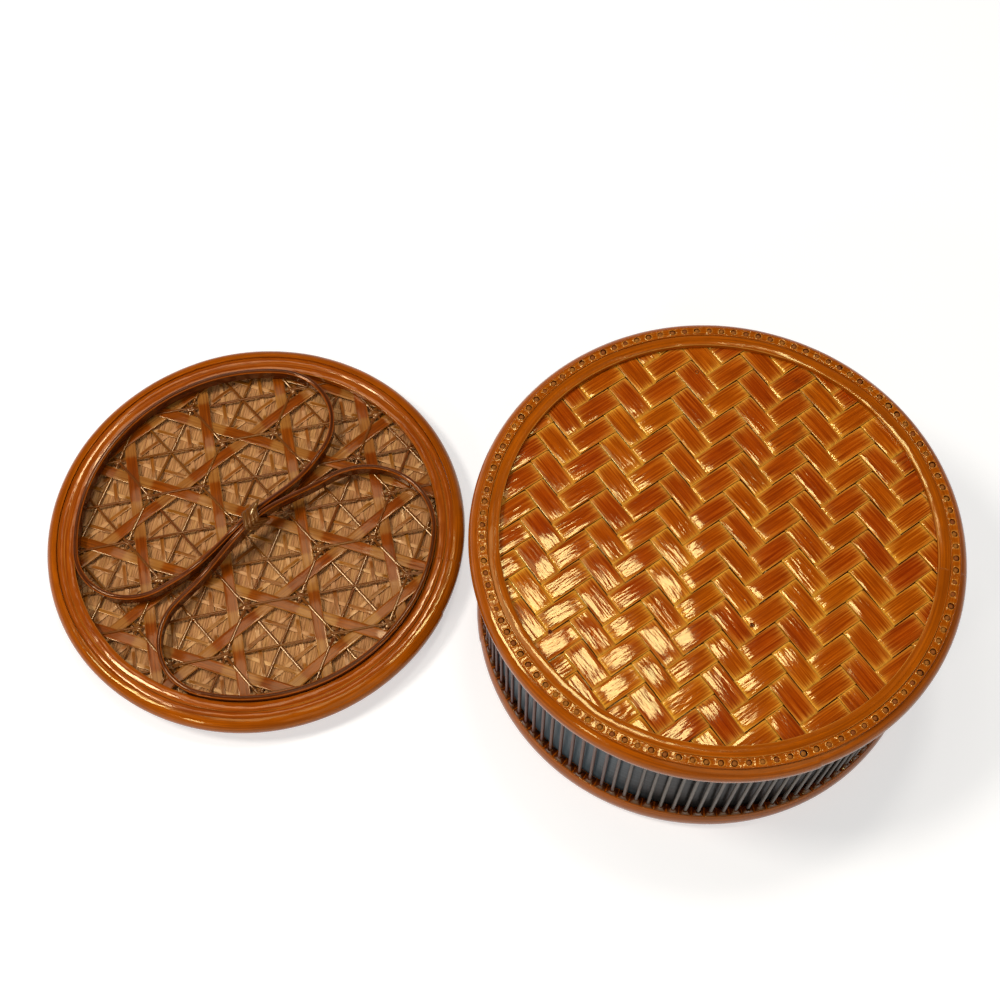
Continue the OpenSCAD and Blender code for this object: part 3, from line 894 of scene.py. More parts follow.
class StripLine(NamedTuple):
    """The middle line of a straight strip on a round panel."""

    axis: np.ndarray
    # A point on the line, from the panel's middle
    base: np.ndarray
    ahead: np.ndarray
    side: np.ndarray


def strip_line(axis, start, degrees, side_degrees, offset):
    """A line that runs at an angle, and lies sideways of a start."""
    side = direction(side_degrees)
    return StripLine(axis, start + side * offset, direction(degrees), side)


def cut_to_rim(line, reach, places, across):
    """Places along a strip, cut off at the panel's rim."""
    half = np.sqrt(np.maximum(reach ** 2 - (line.base @ line.side + across) ** 2, 0))
    middle = line.base @ line.ahead
    return np.clip(places[:, None], -half - middle, half - middle)


def add_strip(shape, line, along, across, up, lot, lacquer):
    """One strip, from where its points lie along it, across it and up."""
    plan = line.axis + line.base + along[..., None] * line.ahead + across[:, None] * line.side
    shape.add(raised(plan, up), (along, across, lot), lacquer, tube=True, caps=True)


# How far slats differ in width, as a share of their pitch, and the slit between them
SLAT_SPREAD = 0.25
SLAT_SLIT = 0.04
SLAT_STEPS = 12
SLAT_CROWN = 0.15
SLAT_EASE = 4
# Height of the waves along a slat, and their length over a radian
SLAT_WAVE = 0.05
SLAT_WAVE_LONG = 23


def add_slats(shape, axis, reach, low, high, pitch, degrees, rng):
    """A round sheet of slats side by side, each a little crowned and waved."""
    places = np.linspace(-reach, reach, SLAT_STEPS)
    edges = np.arange(-reach, reach + pitch, pitch)
    edges[1:-1] += rng.uniform(-SLAT_SPREAD, SLAT_SPREAD, len(edges) - 2) * pitch
    for number, (start, end) in enumerate(zip(edges[:-1], np.minimum(edges[1:], reach))):
        across, section_up = strip_section(end - start - SLAT_SLIT, high - low, SLAT_CROWN, SLAT_EASE)
        line = strip_line(axis, np.zeros(2), degrees, degrees - 90, (start + end) / 2)
        along = cut_to_rim(line, reach, places, across)
        wave = SLAT_WAVE * (np.sin(along / SLAT_WAVE_LONG + any_phase(rng)) - 1)
        up = (low + high) / 2 + section_up + wave * (section_up > 0)
        add_strip(shape, line, along, across, up, number, (0, 0))


# Radius of the twill, height of its middle, and how far its strips rise and fall
MAT_REACH = 91.6
MAT_MIDDLE = 83.25
MAT_RISE = 0.35
TWILL_THICK = 0.6
# Depth of the eased corners of a strip, and how sharp they are
TWILL_CROWN = 0.2
TWILL_EASE = 12
# Directions of a strip of the first set and of its side, which the second set swaps
TWILL_ANGLE = 45
TWILL_ANGLES = (TWILL_ANGLE, TWILL_ANGLE + 90)
# Places along one pitch of a strip, from its end to its middle
TWILL_STEPS = np.array([0, 0.025, 0.05, 0.075, 0.1, 0.14, 0.2, 0.3, 0.4])
# Shares of a pitch in which a strip dives under its neighbours, and in which its tilt and tears come in
TWILL_BEND = 0.09
TWILL_LEVEL = 0.3
# How far cells differ in swell, and the share of the swell that lies above a strip's middle
SWELL_SPREAD = 0.6
SWELL_RISE = 0.4
# Most that a cell leans or rolls, in millimetres at its edges
TWILL_TILT = 0.17
# Cells of a strip that draw a swell, a lean, a roll and a tear of their own
TWILL_CELLS = 16
# Pitches by which the first and the second set are shifted, so that each goes over two and under two
TWILL_SHIFTS = (1.5, 2.5)
# Reach of the golden border of a cell, of the glow inside it and of that at its ends, in millimetres
TWILL_BORDER = 0.25
TWILL_GLOW = 2
TWILL_END_GLOW = 4
# How thin the lacquer is at the border and ends of a cell, and in the glow inside it
BORDER_THIN = 0.32
GLOW_THIN = 0.24
# How far lacquer has pooled in the few cells that are torn, and what draw makes a cell one of them
TORN_POOL = 0.33
TORN_ABOVE = 0.8
# What a strip's number, a cell's and the second set add to the lot that a cell's lightness is drawn from
STRIP_LOT = 7.31
CELL_LOT = 1.77
SET_LOT = 200
BOARD_REACH = 92.1
BOARD_LOW = 80.5
BOARD_TOP = 82.5
BOARD_PITCH = 23


# Where insects have bored into the twill, from the middle of the base
INSECT_HOLES = ((-16.9, 73.6), (-59.2, -52.4), (17.8, -35.9))
# Rows of a hole: radius and height over the cells
BORE_ROWS = ((1.1, -0.1), (0.9, 0.08), (0.65, 0.1), (0.5, -0.02), (0.05, -0.04))
BORE_SIDES = 14
BORE_UNEVEN = 0.15
# Radius inside which a hole is painted dark with shade, and how far lacquer has pooled on its lip
BORE_DARK = 0.8
BORE_POOL = 0.3


def add_insect_holes(shape):
    """Small holes with a raised lip, painted dark inside with shade."""
    radius, up = columns_of(BORE_ROWS)
    sides = sides_of(BORE_SIDES)
    top = MAT_MIDDLE + MAT_RISE + TWILL_THICK / 2 + mm("twill_swell") * SWELL_RISE
    for number, place in enumerate(INSECT_HOLES):
        uneven = radius * (1 + BORE_UNEVEN * np.sin(3 * sides + number))
        points = around(BOX_AXIS + place, uneven, sides, top + up)
        grain = (points[..., 1] - BOX_AXIS[1], points[..., 0] - BOX_AXIS[0], number)
        shape.add(points, grain, (0, np.where(radius < BORE_DARK, 1, BORE_POOL)), tube=True)


def twill_places(pitch):
    """Places along a twill strip, close together where it dives."""
    steps = np.concatenate([TWILL_STEPS, [0.5], 1 - TWILL_STEPS[:0:-1]]) - 0.5
    most = int(MAT_REACH / pitch) + 2
    return (np.arange(-most, most)[:, None] + steps).ravel() * pitch


def add_twill_strip(shape, number, first, rng):
    """One strip of the twill: over two, under two, each cell swollen and a little tilted."""
    pitch = mm("twill_pitch")
    angles = TWILL_ANGLES if first else TWILL_ANGLES[::-1]
    line = strip_line(BOX_AXIS, np.zeros(2), *angles, number * pitch)
    across, section_up = strip_section(pitch - mm("twill_slit"), TWILL_THICK, TWILL_CROWN, TWILL_EASE)
    along = cut_to_rim(line, MAT_REACH, twill_places(pitch), across)
    turns = along / pitch - (number - TWILL_SHIFTS[not first])
    phase = turns % 4
    cell = np.floor(turns / 4).astype(int)
    from_end = np.where(phase < 2, np.minimum(phase, 2 - phase), -np.minimum(phase - 2, 4 - phase))
    level = np.sin(np.clip(from_end / TWILL_BEND, -1, 1) * math.pi / 2)
    on_top = np.clip(from_end / TWILL_LEVEL, 0, 1)
    swells, leans, rolls, splits = rng.uniform(-1, 1, (4, TWILL_CELLS))[:, cell]
    rise = SWELL_RISE - (1 - np.clip(from_end, 0, 1)) ** 2
    swell = mm("twill_swell") * (1 + SWELL_SPREAD * swells) * rise
    tilt = TWILL_TILT * on_top * (leans * (phase - 1) + rolls * 2 * across / pitch)
    up = MAT_MIDDLE + MAT_RISE * level + section_up + swell + tilt
    lot = STRIP_LOT * number + CELL_LOT * cell + SET_LOT * (not first)
    torn = TORN_POOL * on_top * (splits > TORN_ABOVE)
    lacquer = twill_lacquer(np.clip(from_end, 0, 1) * pitch, across, level, torn)
    add_strip(shape, line, along, across, up, lot, lacquer)


def twill_lacquer(end, across, level, torn):
    """Lacquer of a twill strip: golden round its cells, darkened by pooled lacquer and painted shade where it
    dives and down its sides, and by pooled lacquer in a few torn cells.
    """
    edge = across.max() - np.abs(across)
    border = np.minimum(end, edge)
    thin = BORDER_THIN * (np.exp(-border / TWILL_BORDER) + np.exp(-end / TWILL_END_GLOW))
    thin = thin + GLOW_THIN * np.exp(-border / TWILL_GLOW)
    # Painted shade where the strip dives under its neighbours and down its sides; pooled lacquer in torn
    # cells
    pooled_and_shaded = np.where(level < 0, -level, torn)
    return thin, np.maximum(pooled_and_shaded, edge < 0.01 * across.max())


class BAMBOO_OT_base_twill(bpy.types.Operator):
    """Weaves the two sets of strips of the base"""

    bl_idname = "bamboo_box.base_twill"
    bl_label = "Base twill"

    def execute(self, context):
        rng = np.random.default_rng(15)
        most = int(MAT_REACH / mm("twill_pitch"))
        for node, first in (("base_twill_warp", True), ("base_twill_weft", False)):
            twill = Shape()
            for number in range(-most, most + 1):
                add_twill_strip(twill, number, first, rng)
            if first:
                add_insect_holes(twill)
            make_piece(node, twill, "twill_bamboo")
        board = Shape()
        add_slats(board, BOX_AXIS, BOARD_REACH, BOARD_LOW, BOARD_TOP, BOARD_PITCH, TWILL_ANGLE, rng)
        make_piece("base_board", board, "red_lacquer")
        return {"FINISHED"}


LID_OUTER = BowedHoop(
    "lid_outer_hoop", LID_AXIS, inner=90.1, outer=95.1, low=6, high=14.6, groove=1.6,
    lap_at=345, lap_depth=0.4, lap_reach=45)
# Bevel, crown and wear of the lid's flat hoops, and of its flange
LID_EDGES = (0.3, 0.28, 0.5)
FLANGE_EDGES = (0.5, 0, 0)
LID_FLAT_HOOPS = (
    FlatHoop("lid_middle_hoop", "red_lacquer", LID_AXIS, (86.8, 6.1), (90.07, 14.0), *LID_EDGES),
    FlatHoop("lid_inner_hoop", "red_lacquer", LID_AXIS, (82.5, 10.75), (86.77, 14.4), *LID_EDGES),
    FlatHoop("lid_flange", "amber_lacquer", LID_AXIS, (85.5, 0), (90.0, 6), *FLANGE_EDGES),
)


class BAMBOO_OT_lid_hoops(bpy.types.Operator):
    """Bends the hoops of the lid"""

    bl_idname = "bamboo_box.lid_hoops"
    bl_label = "Lid hoops"

    def execute(self, context):
        rng = np.random.default_rng(16)
        make_bowed_hoop(LID_OUTER, rng)
        for hoop in LID_FLAT_HOOPS:
            make_flat_hoop(hoop, rng)
        return {"FINISHED"}


BACKING_REACH = 86.7
BACKING_LOW = 6.1
BACKING_TOP = 7.3
BACKING_ANGLE = 92


class BAMBOO_OT_lid_backing(bpy.types.Operator):
    """Lays the slats behind the lid's weave"""

    bl_idname = "bamboo_box.lid_backing"
    bl_label = "Lid backing"

    def execute(self, context):
        rng = np.random.default_rng(17)
        slats = (BACKING_REACH, BACKING_LOW, BACKING_TOP, mm("slat_width"), BACKING_ANGLE)
        backing = Shape()
        add_slats(backing, LID_AXIS, *slats, rng)
        make_piece("lid_backing", backing, "tan_backing")
        return {"FINISHED"}


# Radius at which the strips of the lid are cut off
PANEL_REACH = 86.2
# A star near the middle of the lid, and how far stars and their rows lie apart
STAR_AT = np.array([-8.4, 26.9])
STAR_PITCH = 42.3
STAR_ROW = STAR_PITCH * math.sqrt(3) / 2
# Directions of the three families of strips
FAMILIES = (-8, 52, 112)
CROSSING = math.radians(60)
# Room beside a strip that crosses, and length of a step along a strip
WEAVE_AIR = 0.1
WEAVE_STEP = 0.7
# Reach of the thin lacquer along the edges of a strip, and how thin it is
STRIP_BORDER = 0.2
STRIP_THIN = 0.7
# Most that a strip rolls from edge to edge and the length of a radian of its waves, in millimetres
WEAVE_ROLL = (0.06, 17)
STAR_ROLL = (0.1, 11)
# What a strip's number and its family add to the lot that its lightness is drawn from
WEAVE_LOT = np.array([3.7, 41])
STAR_LOT = np.array([2.9, 53])
# Level below which the lacquer of a diving strip gets thinner, and in how much more of a dive it is thinnest
DIVE_LEVEL = 0.2
DIVE_REACH = 0.8


class Weave(NamedTuple):
    """One layer of the lid's three-way weave."""

    node: str
    slot: str
    # Name of the width of its strips, and how far apart they lie
    width: str
    space: float
    # Thickness of a strip, height of its middle, and how far that rises and falls
    thick: float
    middle: float
    rise: float
    # Depth of its eased corners and how sharp they are
    crown: float
    power: float
    # How thin the lacquer is where a strip dives
    diving: float


WEAVES = (
    Weave("lid_fine_strips_", "fine_bamboo", "fine_width", STAR_ROW / 2, 0.35, 7.8, 0.225, 0.08, 8, 0.8),
    Weave("lid_wide_strips_", "wide_bamboo", "wide_width", STAR_ROW, 0.5, 9.6, 0.3, 0.12, 10, 0.6),
)


def flat_half(width):
    """Half the length for which a strip stays level where another of its width crosses it."""
    return width / 2 / math.sin(CROSSING) + width / 2 / math.tan(CROSSING) + WEAVE_AIR


def weave_places():
    """Places along a strip of the lid."""
    reach = PANEL_REACH + np.linalg.norm(STAR_AT)
    return np.arange(-reach, reach, WEAVE_STEP)


def strip_numbers(degrees, space, shift):
    """Numbers of the lines that cross the panel, side by side in one direction from a star."""
    place = STAR_AT @ direction(degrees)
    first = math.ceil((-PANEL_REACH - place) / space - shift)
    last = math.floor((PANEL_REACH - place) / space - shift)
    return range(first, last + 1)


def rolling(along, across, most, wave, rng):
    """Height that a strip gains or loses across its width as it rolls from side to side."""
    return most * np.sin(along / wave + any_phase(rng)) * across / np.ptp(across)


def add_weave_strip(shape, weave, family, number, rng):
    """A strip of the three-way weave: over the next family and under the one after it."""
    offset = (number + 0.5) * weave.space
    line = strip_line(LID_AXIS, STAR_AT, FAMILIES[family], FAMILIES[family] + 90, offset)
    width = mm(weave.width)
    across, section_up = strip_section(width, weave.thick, weave.crown, weave.power)
    along = cut_to_rim(line, PANEL_REACH, weave_places(), across)
    turn = math.radians(FAMILIES[(family + 1) % 3] - FAMILIES[family])
    step = weave.space / math.sin(CROSSING)
    start = (offset * math.cos(turn) - weave.space / 2) / math.sin(turn)
    apart = np.abs((along - start + step / 2) % step - step / 2)
    flat = flat_half(width)
    level = 1 - 2 * smooth((apart - flat) / (step / 2 - 2 * flat))
    up = weave.middle + weave.rise * level + section_up + rolling(along, across, *WEAVE_ROLL, rng)
    thin = weave.diving * smooth((DIVE_LEVEL - level) / DIVE_REACH)
    thin = np.maximum(thin, STRIP_THIN * np.exp((np.abs(across) - width / 2) / STRIP_BORDER))
    add_strip(shape, line, along, across, up, WEAVE_LOT @ (number, family), (thin, 0))


class BAMBOO_OT_lid_weave(bpy.types.Operator):
    """Weaves the fine and the wide strips of the lid"""

    bl_idname = "bamboo_box.lid_weave"
    bl_label = "Lid weave"

    def execute(self, context):
        rng = np.random.default_rng(18)
        for weave in WEAVES:
            for family, letter in enumerate("abc"):
                strips = Shape()
                for number in strip_numbers(FAMILIES[family] + 90, weave.space, 0.5):
                    add_weave_strip(strips, weave, family, number, rng)
                make_piece(weave.node + letter, strips, weave.slot)
        return {"FINISHED"}


STAR_THICK = 0.4
STAR_CROWN = 0.18
STAR_EASE = 2
# How far the three strips of a star lie above each other, and their middle heights along the way
STAR_STEP = 0.5
STAR_LOW = 9.0
STAR_MIDDLE = 9.725
STAR_HIGH = 10.45


def star_levels(family):
    """Distances from a star along one of its strips, and the strip's heights there."""
    flat = flat_half(mm("star_width"))
    under = mm("wide_width") / 2 + 2 * WEAVE_AIR
    over = mm("wide_width") + mm("star_width")
    lift = (family - 1) * STAR_STEP
    triangle = STAR_ROW * 2 / 3
    stops = (
        (0, STAR_LOW + lift), (flat, STAR_LOW + lift),
        (STAR_ROW / 2 - under, STAR_LOW), (STAR_ROW / 2 + under, STAR_LOW),
        (triangle - flat, STAR_MIDDLE + lift), (triangle + flat, STAR_MIDDLE + lift),
        (STAR_ROW - over, STAR_HIGH), (STAR_ROW, STAR_HIGH))
    return zip(*stops)


def add_star_strip(shape, family, number, rng):
    """A thin strip through a row of stars: under a wide strip, through a triangle and over a crossing."""
    offset = number * STAR_PITCH / 2
    line = strip_line(LID_AXIS, STAR_AT, FAMILIES[family] + 90, FAMILIES[family], offset)
    across, section_up = strip_section(mm("star_width"), STAR_THICK, STAR_CROWN, STAR_EASE)
    along = cut_to_rim(line, PANEL_REACH, weave_places(), across)
    start = number % 2 * STAR_ROW
    apart = np.abs((along - start + STAR_ROW) % (2 * STAR_ROW) - STAR_ROW)
    up = np.interp(apart, *star_levels(family)) + section_up + rolling(along, across, *STAR_ROLL, rng)
    add_strip(shape, line, along, across, up, STAR_LOT @ (number, family), (0, 0))


# Rows of a drop of lacquer: share of its radius and height
DROP_ROWS = ((1, 9.3), (1, 9.7), (0.92, 9.9), (0.7, 10.1), (0.38, 10.25), (0.05, 10.3))
DROP_RADIUS = 1.9
DROP_SPREAD = (0.7, 1.2)
DROP_SIDES = 15
# How far a drop runs out along its three strips, as a share of its radius, and how thin its lacquer is
DROP_ARMS = 0.3
DROP_THIN = 0.3
# Stars along each side of the patch in which drops are looked for, with the first star in its middle
DROP_PATCH = 9


def add_drops(shape, rng):
    """Lacquer that has run together where three thin strips meet, between the stars."""
    share, up = columns_of(DROP_ROWS)
    sides = sides_of(DROP_SIDES)
    one, other = (STAR_PITCH * direction(turn) for turn in FAMILIES[:2])
    for third, i, j in np.ndindex(2, DROP_PATCH, DROP_PATCH):
        ahead, beside = np.array([i, j]) - DROP_PATCH // 2 + (third + 1) / 3
        middle = STAR_AT + ahead * one + beside * other
        radius = DROP_RADIUS * rng.uniform(*DROP_SPREAD)
        out = radius * share * (1 + DROP_ARMS * np.cos(3 * sides + any_phase(rng)))
        if np.linalg.norm(middle) < PANEL_REACH - 2 * DROP_RADIUS:
            points = around(LID_AXIS + middle, out, sides, up)
            grain = (points[..., 0], points[..., 1], i + DROP_PATCH * j)
            shape.add(points, grain, (DROP_THIN, 0), tube=True, caps=True)


class BAMBOO_OT_lid_stars(bpy.types.Operator):
    """Threads the thin strips that make the stars of the lid"""

    bl_idname = "bamboo_box.lid_stars"
    bl_label = "Lid stars"

    def execute(self, context):
        rng = np.random.default_rng(19)
        for family, letter in enumerate("abc"):
            strips = Shape()
            for number in strip_numbers(FAMILIES[family], STAR_PITCH / 2, 0):
                add_star_strip(strips, family, number, rng)
            if letter == "b":
                add_drops(strips, rng)
            make_piece("lid_star_strips_" + letter, strips, "star_bamboo")
        return {"FINISHED"}


# Height of a loop's foot, radius of its rim side, and distance of its grip side from the lid's middle
LOOP_LOW = 10.95
LOOP_RIM = 81.1
LOOP_SIDE = 1.35
# Direction of the grip, and height and half length of its arch
GRIP_ANGLE = 55
GRIP_LIFT = 10
GRIP_HALF = 40
ARC_STEPS = 60
# Each end of a loop is the radius of its rounded corner and of its bowed grip side
LEFT_FAR = (28, 185)
LEFT_NEAR = (26, 235)
RIGHT_NEAR = (26, 600)
RIGHT_FAR = (31.5, 212)
RIBBON_STEP = 0.8
RIBBON_BEVEL = 0.45
RIBBON_CROWN = 0.25
RIBBON_WORN = 0.9
# How far pooled lacquer and painted shade darken the foot of a ribbon, and how high
RIBBON_POOL_AND_SHADE = 0.6
RIBBON_POOL_AND_SHADE_HIGH = 2.5


def arc(middle, radius, start, end):
    """Points of an arc, from start up to but without end, in degrees."""
    turns = np.linspace(start, end, ARC_STEPS, endpoint=False)
    return np.array(middle) + radius * np.array([direction(turn) for turn in turns])


def half_loop(corner, bow):
    """Half of a loop: out along its bowed grip side, round its corner and back along the rim."""
    bow_y = LOOP_SIDE + bow
    reach = LOOP_RIM - corner
    y = (reach ** 2 - (bow - corner) ** 2 + bow_y ** 2) / (2 * bow_y)
    x = math.sqrt(reach ** 2 - y ** 2)
    off = math.degrees(math.atan2(y - bow_y, x))
    rim = math.degrees(math.atan2(y, x))
    arcs = (((0, bow_y), bow, -90, off), ((x, y), corner, off, rim), ((0, 0), LOOP_RIM, rim, 90))
    return np.concatenate([arc(*piece) for piece in arcs])


def loop_line(ahead, behind):
    """A closed loop as evenly spaced points, in a frame with the grip along X."""
    back = half_loop(*behind)[:0:-1] * (-1, 1)
    line = np.concatenate([half_loop(*ahead), [[0, LOOP_RIM]], back])
    closed = np.concatenate([line, line[:1]])
    ran = perimeter(closed)
    places = np.linspace(0, ran[-1], int(ran[-1] / RIBBON_STEP), endpoint=False)
    return np.stack([np.interp(places, ran, closed[:, axis]) for axis in (0, 1)], -1), places


def turned(points, degrees):
    """Points on the table, turned about the origin."""
    return points @ np.array([direction(degrees), direction(degrees + 90)])


def add_ribbon(shape, ahead, behind, turn):
    """A ribbon on edge, bent into a closed loop whose grip side arches up."""
    line, places = loop_line(ahead, behind)
    tangent = np.roll(line, -1, 0) - np.roll(line, 1, 0)
    tangent /= np.linalg.norm(tangent, axis=1)[:, None]
    across = np.stack([tangent[:, 1], -tangent[:, 0]], -1)
    half = mm("ribbon_thick") / 2
    section = flat_section((-half, 0), (half, mm("ribbon_tall")), RIBBON_BEVEL, RIBBON_CROWN)
    on_grip = (line[:, 1] < LOOP_RIM / 2) & (np.abs(line[:, 0]) < GRIP_HALF)
    rise = np.where(on_grip, GRIP_LIFT * (1 + np.cos(math.pi * line[:, 0] / GRIP_HALF)) / 2, 0)
    plan = turned(line[:, None] + section[None, :, :1] * across[:, None], turn) + LID_AXIS
    up = LOOP_LOW + rise[:, None] + section[:, 1]
    thin, _ = edge_marks(section, RIBBON_BEVEL, RIBBON_WORN, RIBBON_CROWN)
    # Painted shade and pooled lacquer darken the ribbon's foot where it stands on the panel
    pooled_and_shaded = RIBBON_POOL_AND_SHADE * smooth(1 - section[:, 1] / RIBBON_POOL_AND_SHADE_HIGH)
    grain = (places[:, None], perimeter(section), turn)
    shape.add(raised(plan, up), grain, (thin, pooled_and_shaded), ring=True, tube=True)


class BAMBOO_OT_handle_loops(bpy.types.Operator):
    """Bends the two closed ribbons of the handle"""

    bl_idname = "bamboo_box.handle_loops"
    bl_label = "Handle loops"

    def execute(self, context):
        for node, ahead, behind, turn in (
                ("handle_loop_left", LEFT_FAR, LEFT_NEAR, GRIP_ANGLE),
                ("handle_loop_right", RIGHT_NEAR, RIGHT_FAR, GRIP_ANGLE + 180)):
            ribbon = Shape()
            add_ribbon(ribbon, ahead, behind, turn)
            make_piece(node, ribbon, "handle_bamboo")
        return {"FINISHED"}


# Half the width and height of the path of the cane round the grip, and the radius of its corners
LASH_HALF = np.array([3.6, 4.1])
LASH_CORNER = 1.2
# Length of grip that a turn takes, and points round each of its corners
LASH_PITCH = 2
LASH_STEPS = 9
CANE_THICK = 1.4
CANE_SIDES = sides_of(10)
# How the grain runs round the cane, in millimetres to a radian
CANE_GRAIN = CANE_SIDES * 0.6
CANE_WORN = 0.25
# How far the turns lean along the grip as they cross it
LASH_SLANT = 0.6
TAIL_LENGTH = 8
TAIL_ANGLE = 78
TAIL_STEPS = 12
# Share of its section that the tail loses by its point, and its height and share of the wave that it bends in
TAIL_TAPER = 0.98
TAIL_RISE = 1.2
TAIL_BEND = 0.7
TAIL_WORN = 0.2


def cane_section():
    """The flattened section of the cane: places across it and heights over its middle."""
    return np.cos(CANE_SIDES) * mm("cane_width") / 2, np.sin(CANE_SIDES) * CANE_THICK / 2


def add_lashing(shape):
    """Flattened cane wound round both ribbons at the middle of the grip."""
    turns = count("cane_turns")
    number = np.arange(turns * 4 * LASH_STEPS + 1)
    corner = number // LASH_STEPS
    angle = np.radians(90 * (corner + number % LASH_STEPS / (LASH_STEPS - 1)))
    facing = np.stack([np.cos(angle), np.sin(angle)], -1)
    quadrant = np.radians(90 * corner + 45)
    signs = np.sign(np.stack([np.cos(quadrant), np.sin(quadrant)], -1))
    middle = signs * (LASH_HALF - LASH_CORNER) + facing * LASH_CORNER
    ahead = (number / number[-1] - 0.5) * turns * LASH_PITCH
    wide, thick = cane_section()
    winding = middle[:, None] + facing[:, None] * thick[:, None]
    slant = LASH_SLANT * winding[..., 0] * np.sign(winding[..., 1])
    plan = np.stack([ahead[:, None] + wide + slant, winding[..., 0]], -1)
    points = raised(turned(plan, GRIP_ANGLE) + LID_AXIS, lash_height() + winding[..., 1])
    worn = CANE_WORN * np.clip(np.sin(CANE_SIDES), 0, 1)
    shape.add(points, (perimeter(middle)[:, None], CANE_GRAIN, 1), (worn, 0), tube=True, caps=True)


def lash_height():
    """Height of the middle of the lashing."""
    return LOOP_LOW + mm("ribbon_tall") / 2 + GRIP_LIFT


def add_tail(shape):
    """The loose end of the cane: it leaves the top of the lashing and runs out to a point."""
    share = np.linspace(0, 1, TAIL_STEPS)[:, None]
    taper = np.sqrt(1 - TAIL_TAPER * share ** 2)
    wide, thick = cane_section()
    up = thick * taper + TAIL_RISE * np.sin(TAIL_BEND * math.pi * share)
    ahead, beside = direction(TAIL_ANGLE), direction(TAIL_ANGLE + 90)
    plan = LID_AXIS + (share * TAIL_LENGTH)[..., None] * ahead + (wide * taper)[..., None] * beside
    points = raised(plan, lash_height() + LASH_HALF[1] + up)
    shape.add(points, (share * TAIL_LENGTH, CANE_GRAIN, 2), (TAIL_WORN, 0), tube=True, caps=True)


class BAMBOO_OT_handle_lashing(bpy.types.Operator):
    """Winds the cane round the grip"""

    bl_idname = "bamboo_box.handle_lashing"
    bl_label = "Handle lashing"

    def execute(self, context):
        lashing = Shape()
        add_lashing(lashing)
        add_tail(lashing)
        make_piece("handle_lashing", lashing, "lashing_cane")
        return {"FINISHED"}


# Half the width of the floor and how far it lies under the table's plane, in metres
FLOOR_HALF = 4.0
FLOOR_DROP = 0.0003
# What the floor adds for the eye and for mirrors, so that it looks white
FLOOR_GLOW = 0.52
# Brightness of the room's walls and ceiling, and the slopes between which one turns into the other
ROOM_WALL = 0.5
ROOM_CEILING = 0.08
ROOM_TURN = (0.1, 0.7)
# Name, place and target of each lamp, its size, all in metres, and its level
LAMPS = (
    ("key_lamp", (-0.74, -0.12, 1.3), (0, 0, 0.05), 0.34, 0.46),
    ("ceiling_lamp", (0.046, 0.464, 1.64), (0.1, 0, 0.05), 0.28, 0.19),
    ("window_lamp", (-0.4, 0.4, 1.6), (-0.1, 0, 0.01), 0.5, 0.08),
    ("fill_lamp", (0.42, -0.5, 0.8), (0.1, 0, 0.08), 0.8, 0.17),
    ("front_lamp", (-0.45, -0.95, 0.7), (-0.1, 0, 0.02), 0.16, 0.1),
)
# Camera of the photograph: place in metres, angles in degrees and lens in millimetres
CAMERA_PLACE = (0.05827, -0.25364, 0.62603)
CAMERA_DOWN = 64.51
CAMERA_ROLL = -0.737
CAMERA_TURN = 10.8
CAMERA_LENS = 53.29


def add_floor():
    """A plain pale floor that keeps the object's shadow."""
    mesh = bpy.data.meshes.new("floor")
    corners = [(-1, -1), (1, -1), (1, 1), (-1, 1)]
    points = [(x * FLOOR_HALF, y * FLOOR_HALF, -FLOOR_DROP) for x, y in corners]
    mesh.from_pydata(points, [], [(0, 1, 2, 3)])
    mesh.materials.append(floor_material())
    floor = add_object("floor", mesh)


def floor_material():
    """Matt painted board, made white for the eye and for mirrors."""
    material = bpy.data.materials.new("painted_board_matt")
    tree = empty_tree(material)
    board = add_node(tree, "BsdfDiffuse", {"Color": tint("floor")})
    path = add_node(tree, "LightPath").outputs
    seen = path["Is Camera Ray"]
    for mirrored in ("Is Glossy Ray", "Is Transmission Ray"):
        seen = add_node(tree, "Math", {0: seen, 1: path[mirrored]}, operation="MAXIMUM")
    level = add_node(tree, "Math", {0: seen, 1: FLOOR_GLOW}, operation="MULTIPLY")
    glow = add_node(tree, "Emission", {"Strength": level})
    shader = add_node(tree, "AddShader", {0: board, 1: glow})
    add_node(tree, "OutputMaterial", {"Surface": shader})
    return material


def add_lamp(name, place, target, size, level):
    """A round soft lamp. Its level is the brightness that it alone gives a white card facing it."""
    light = bpy.data.lights.new(name, "AREA")
    light.shape = "DISK"
    light.size = size
    light.color = tint("lamp")[:3]
    toward = Vector(target) - Vector(place)
    light.energy = level * math.pi ** 2 * toward.length_squared
    lamp = add_object(name, light)
    lamp.location = place
    lamp.rotation_euler = toward.to_track_quat("-Z", "Y").to_euler()


def add_world():
    """A room with pale walls and a dim ceiling."""
    world = bpy.data.worlds.new("plain_room")
    tree = empty_tree(world)
    toward = add_node(tree, "TexCoord").outputs["Generated"]
    up = add_node(tree, "SeparateXYZ", {0: toward}).outputs["Z"]
    level = add_node(tree, "MapRange", {
        "Value": up, "From Min": ROOM_TURN[0], "From Max": ROOM_TURN[1],
        "To Min": ROOM_WALL, "To Max": ROOM_CEILING})
    shader = add_node(tree, "Background", {"Color": (1, 1, 1, 1), "Strength": level})
    add_node(tree, "OutputWorld", {"Surface": shader})
    bpy.context.scene.world = world


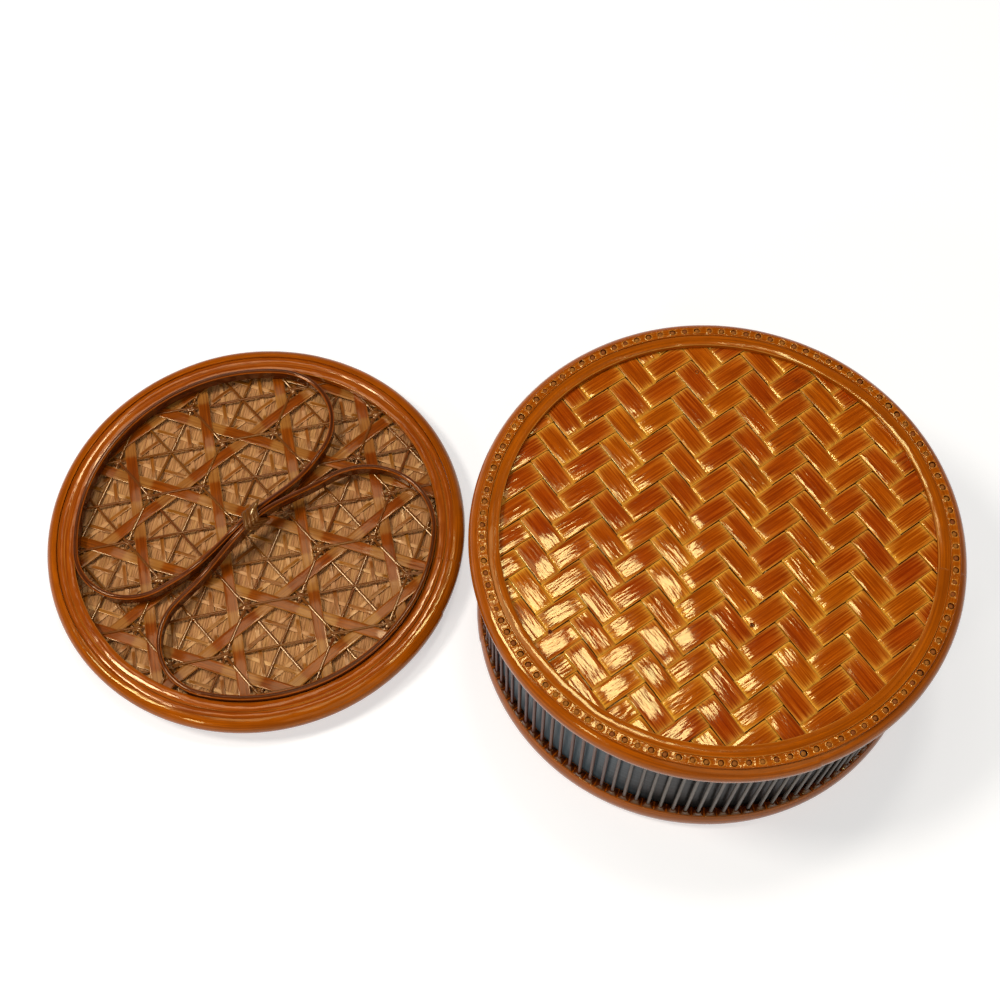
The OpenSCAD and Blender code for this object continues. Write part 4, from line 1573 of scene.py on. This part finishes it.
def add_camera():
    """The camera of the photograph."""
    down, roll, turn = (math.radians(angle) for angle in (CAMERA_DOWN, CAMERA_ROLL, CAMERA_TURN))
    ahead = Vector((0, math.cos(down), -math.sin(down)))
    level = Vector((1, 0, 0))
    upright = level.cross(ahead)
    right = math.cos(roll) * level + math.sin(roll) * upright
    up = math.cos(roll) * upright - math.sin(roll) * level
    axes = Matrix((right, up, -ahead)).transposed()
    camera = add_object("camera", bpy.data.cameras.new("camera"))
    camera.data.lens = CAMERA_LENS
    camera.matrix_world = Matrix.Translation(CAMERA_PLACE) @ (Matrix.Rotation(turn, 3, "Z") @ axes).to_4x4()
    bpy.context.scene.camera = camera


class BAMBOO_OT_stage(bpy.types.Operator):
    """Sets up the floor, the room, the camera and the lamps"""

    bl_idname = "bamboo_box.stage"
    bl_label = "Stage"

    def execute(self, context):
        add_floor()
        add_world()
        add_camera()
        for lamp in LAMPS:
            add_lamp(*lamp)
        context.scene.view_settings.view_transform = "Standard"
        return {"FINISHED"}


class BAMBOO_PT_box(bpy.types.Panel):
    """Lists the pieces of the box with their sizes and colours"""

    bl_idname = "BAMBOO_PT_box"
    bl_label = "Bamboo box"
    bl_space_type = "VIEW_3D"
    bl_region_type = "UI"
    bl_category = "Bamboo box"

    def draw(self, context):
        for operator in OPERATORS:
            self.layout.operator(operator.bl_idname)
        for group in (context.scene.bamboo_box_sizes, context.scene.bamboo_box_colours):
            box = self.layout.box()
            for name in group.__annotations__:
                box.prop(group, name)


OPERATORS = (
    BAMBOO_OT_stage, BAMBOO_OT_base_hoops, BAMBOO_OT_base_twill, BAMBOO_OT_wall_sticks,
    BAMBOO_OT_wall_liner, BAMBOO_OT_mouth_hoops, BAMBOO_OT_lid_hoops, BAMBOO_OT_lid_backing,
    BAMBOO_OT_lid_weave, BAMBOO_OT_lid_stars, BAMBOO_OT_handle_loops, BAMBOO_OT_handle_lashing)
CLASSES = (BambooBoxSizes, BambooBoxColours, *OPERATORS, BAMBOO_PT_box)


def register():
    """Makes the operators, the panel and the settings known to Blender."""
    for kind in CLASSES:
        bpy.utils.register_class(kind)
    bpy.types.Scene.bamboo_box_sizes = bpy.props.PointerProperty(type=BambooBoxSizes)
    bpy.types.Scene.bamboo_box_colours = bpy.props.PointerProperty(type=BambooBoxColours)


def unregister():
    """Takes them away again."""
    del bpy.types.Scene.bamboo_box_colours
    del bpy.types.Scene.bamboo_box_sizes
    for kind in reversed(CLASSES):
        bpy.utils.unregister_class(kind)


def main():
    """Dresses the whole box."""
    register()
    for operator in OPERATORS:
        family, name = operator.bl_idname.split(".")
        getattr(getattr(bpy.ops, family), name)()


if __name__ == "__main__":
    main()
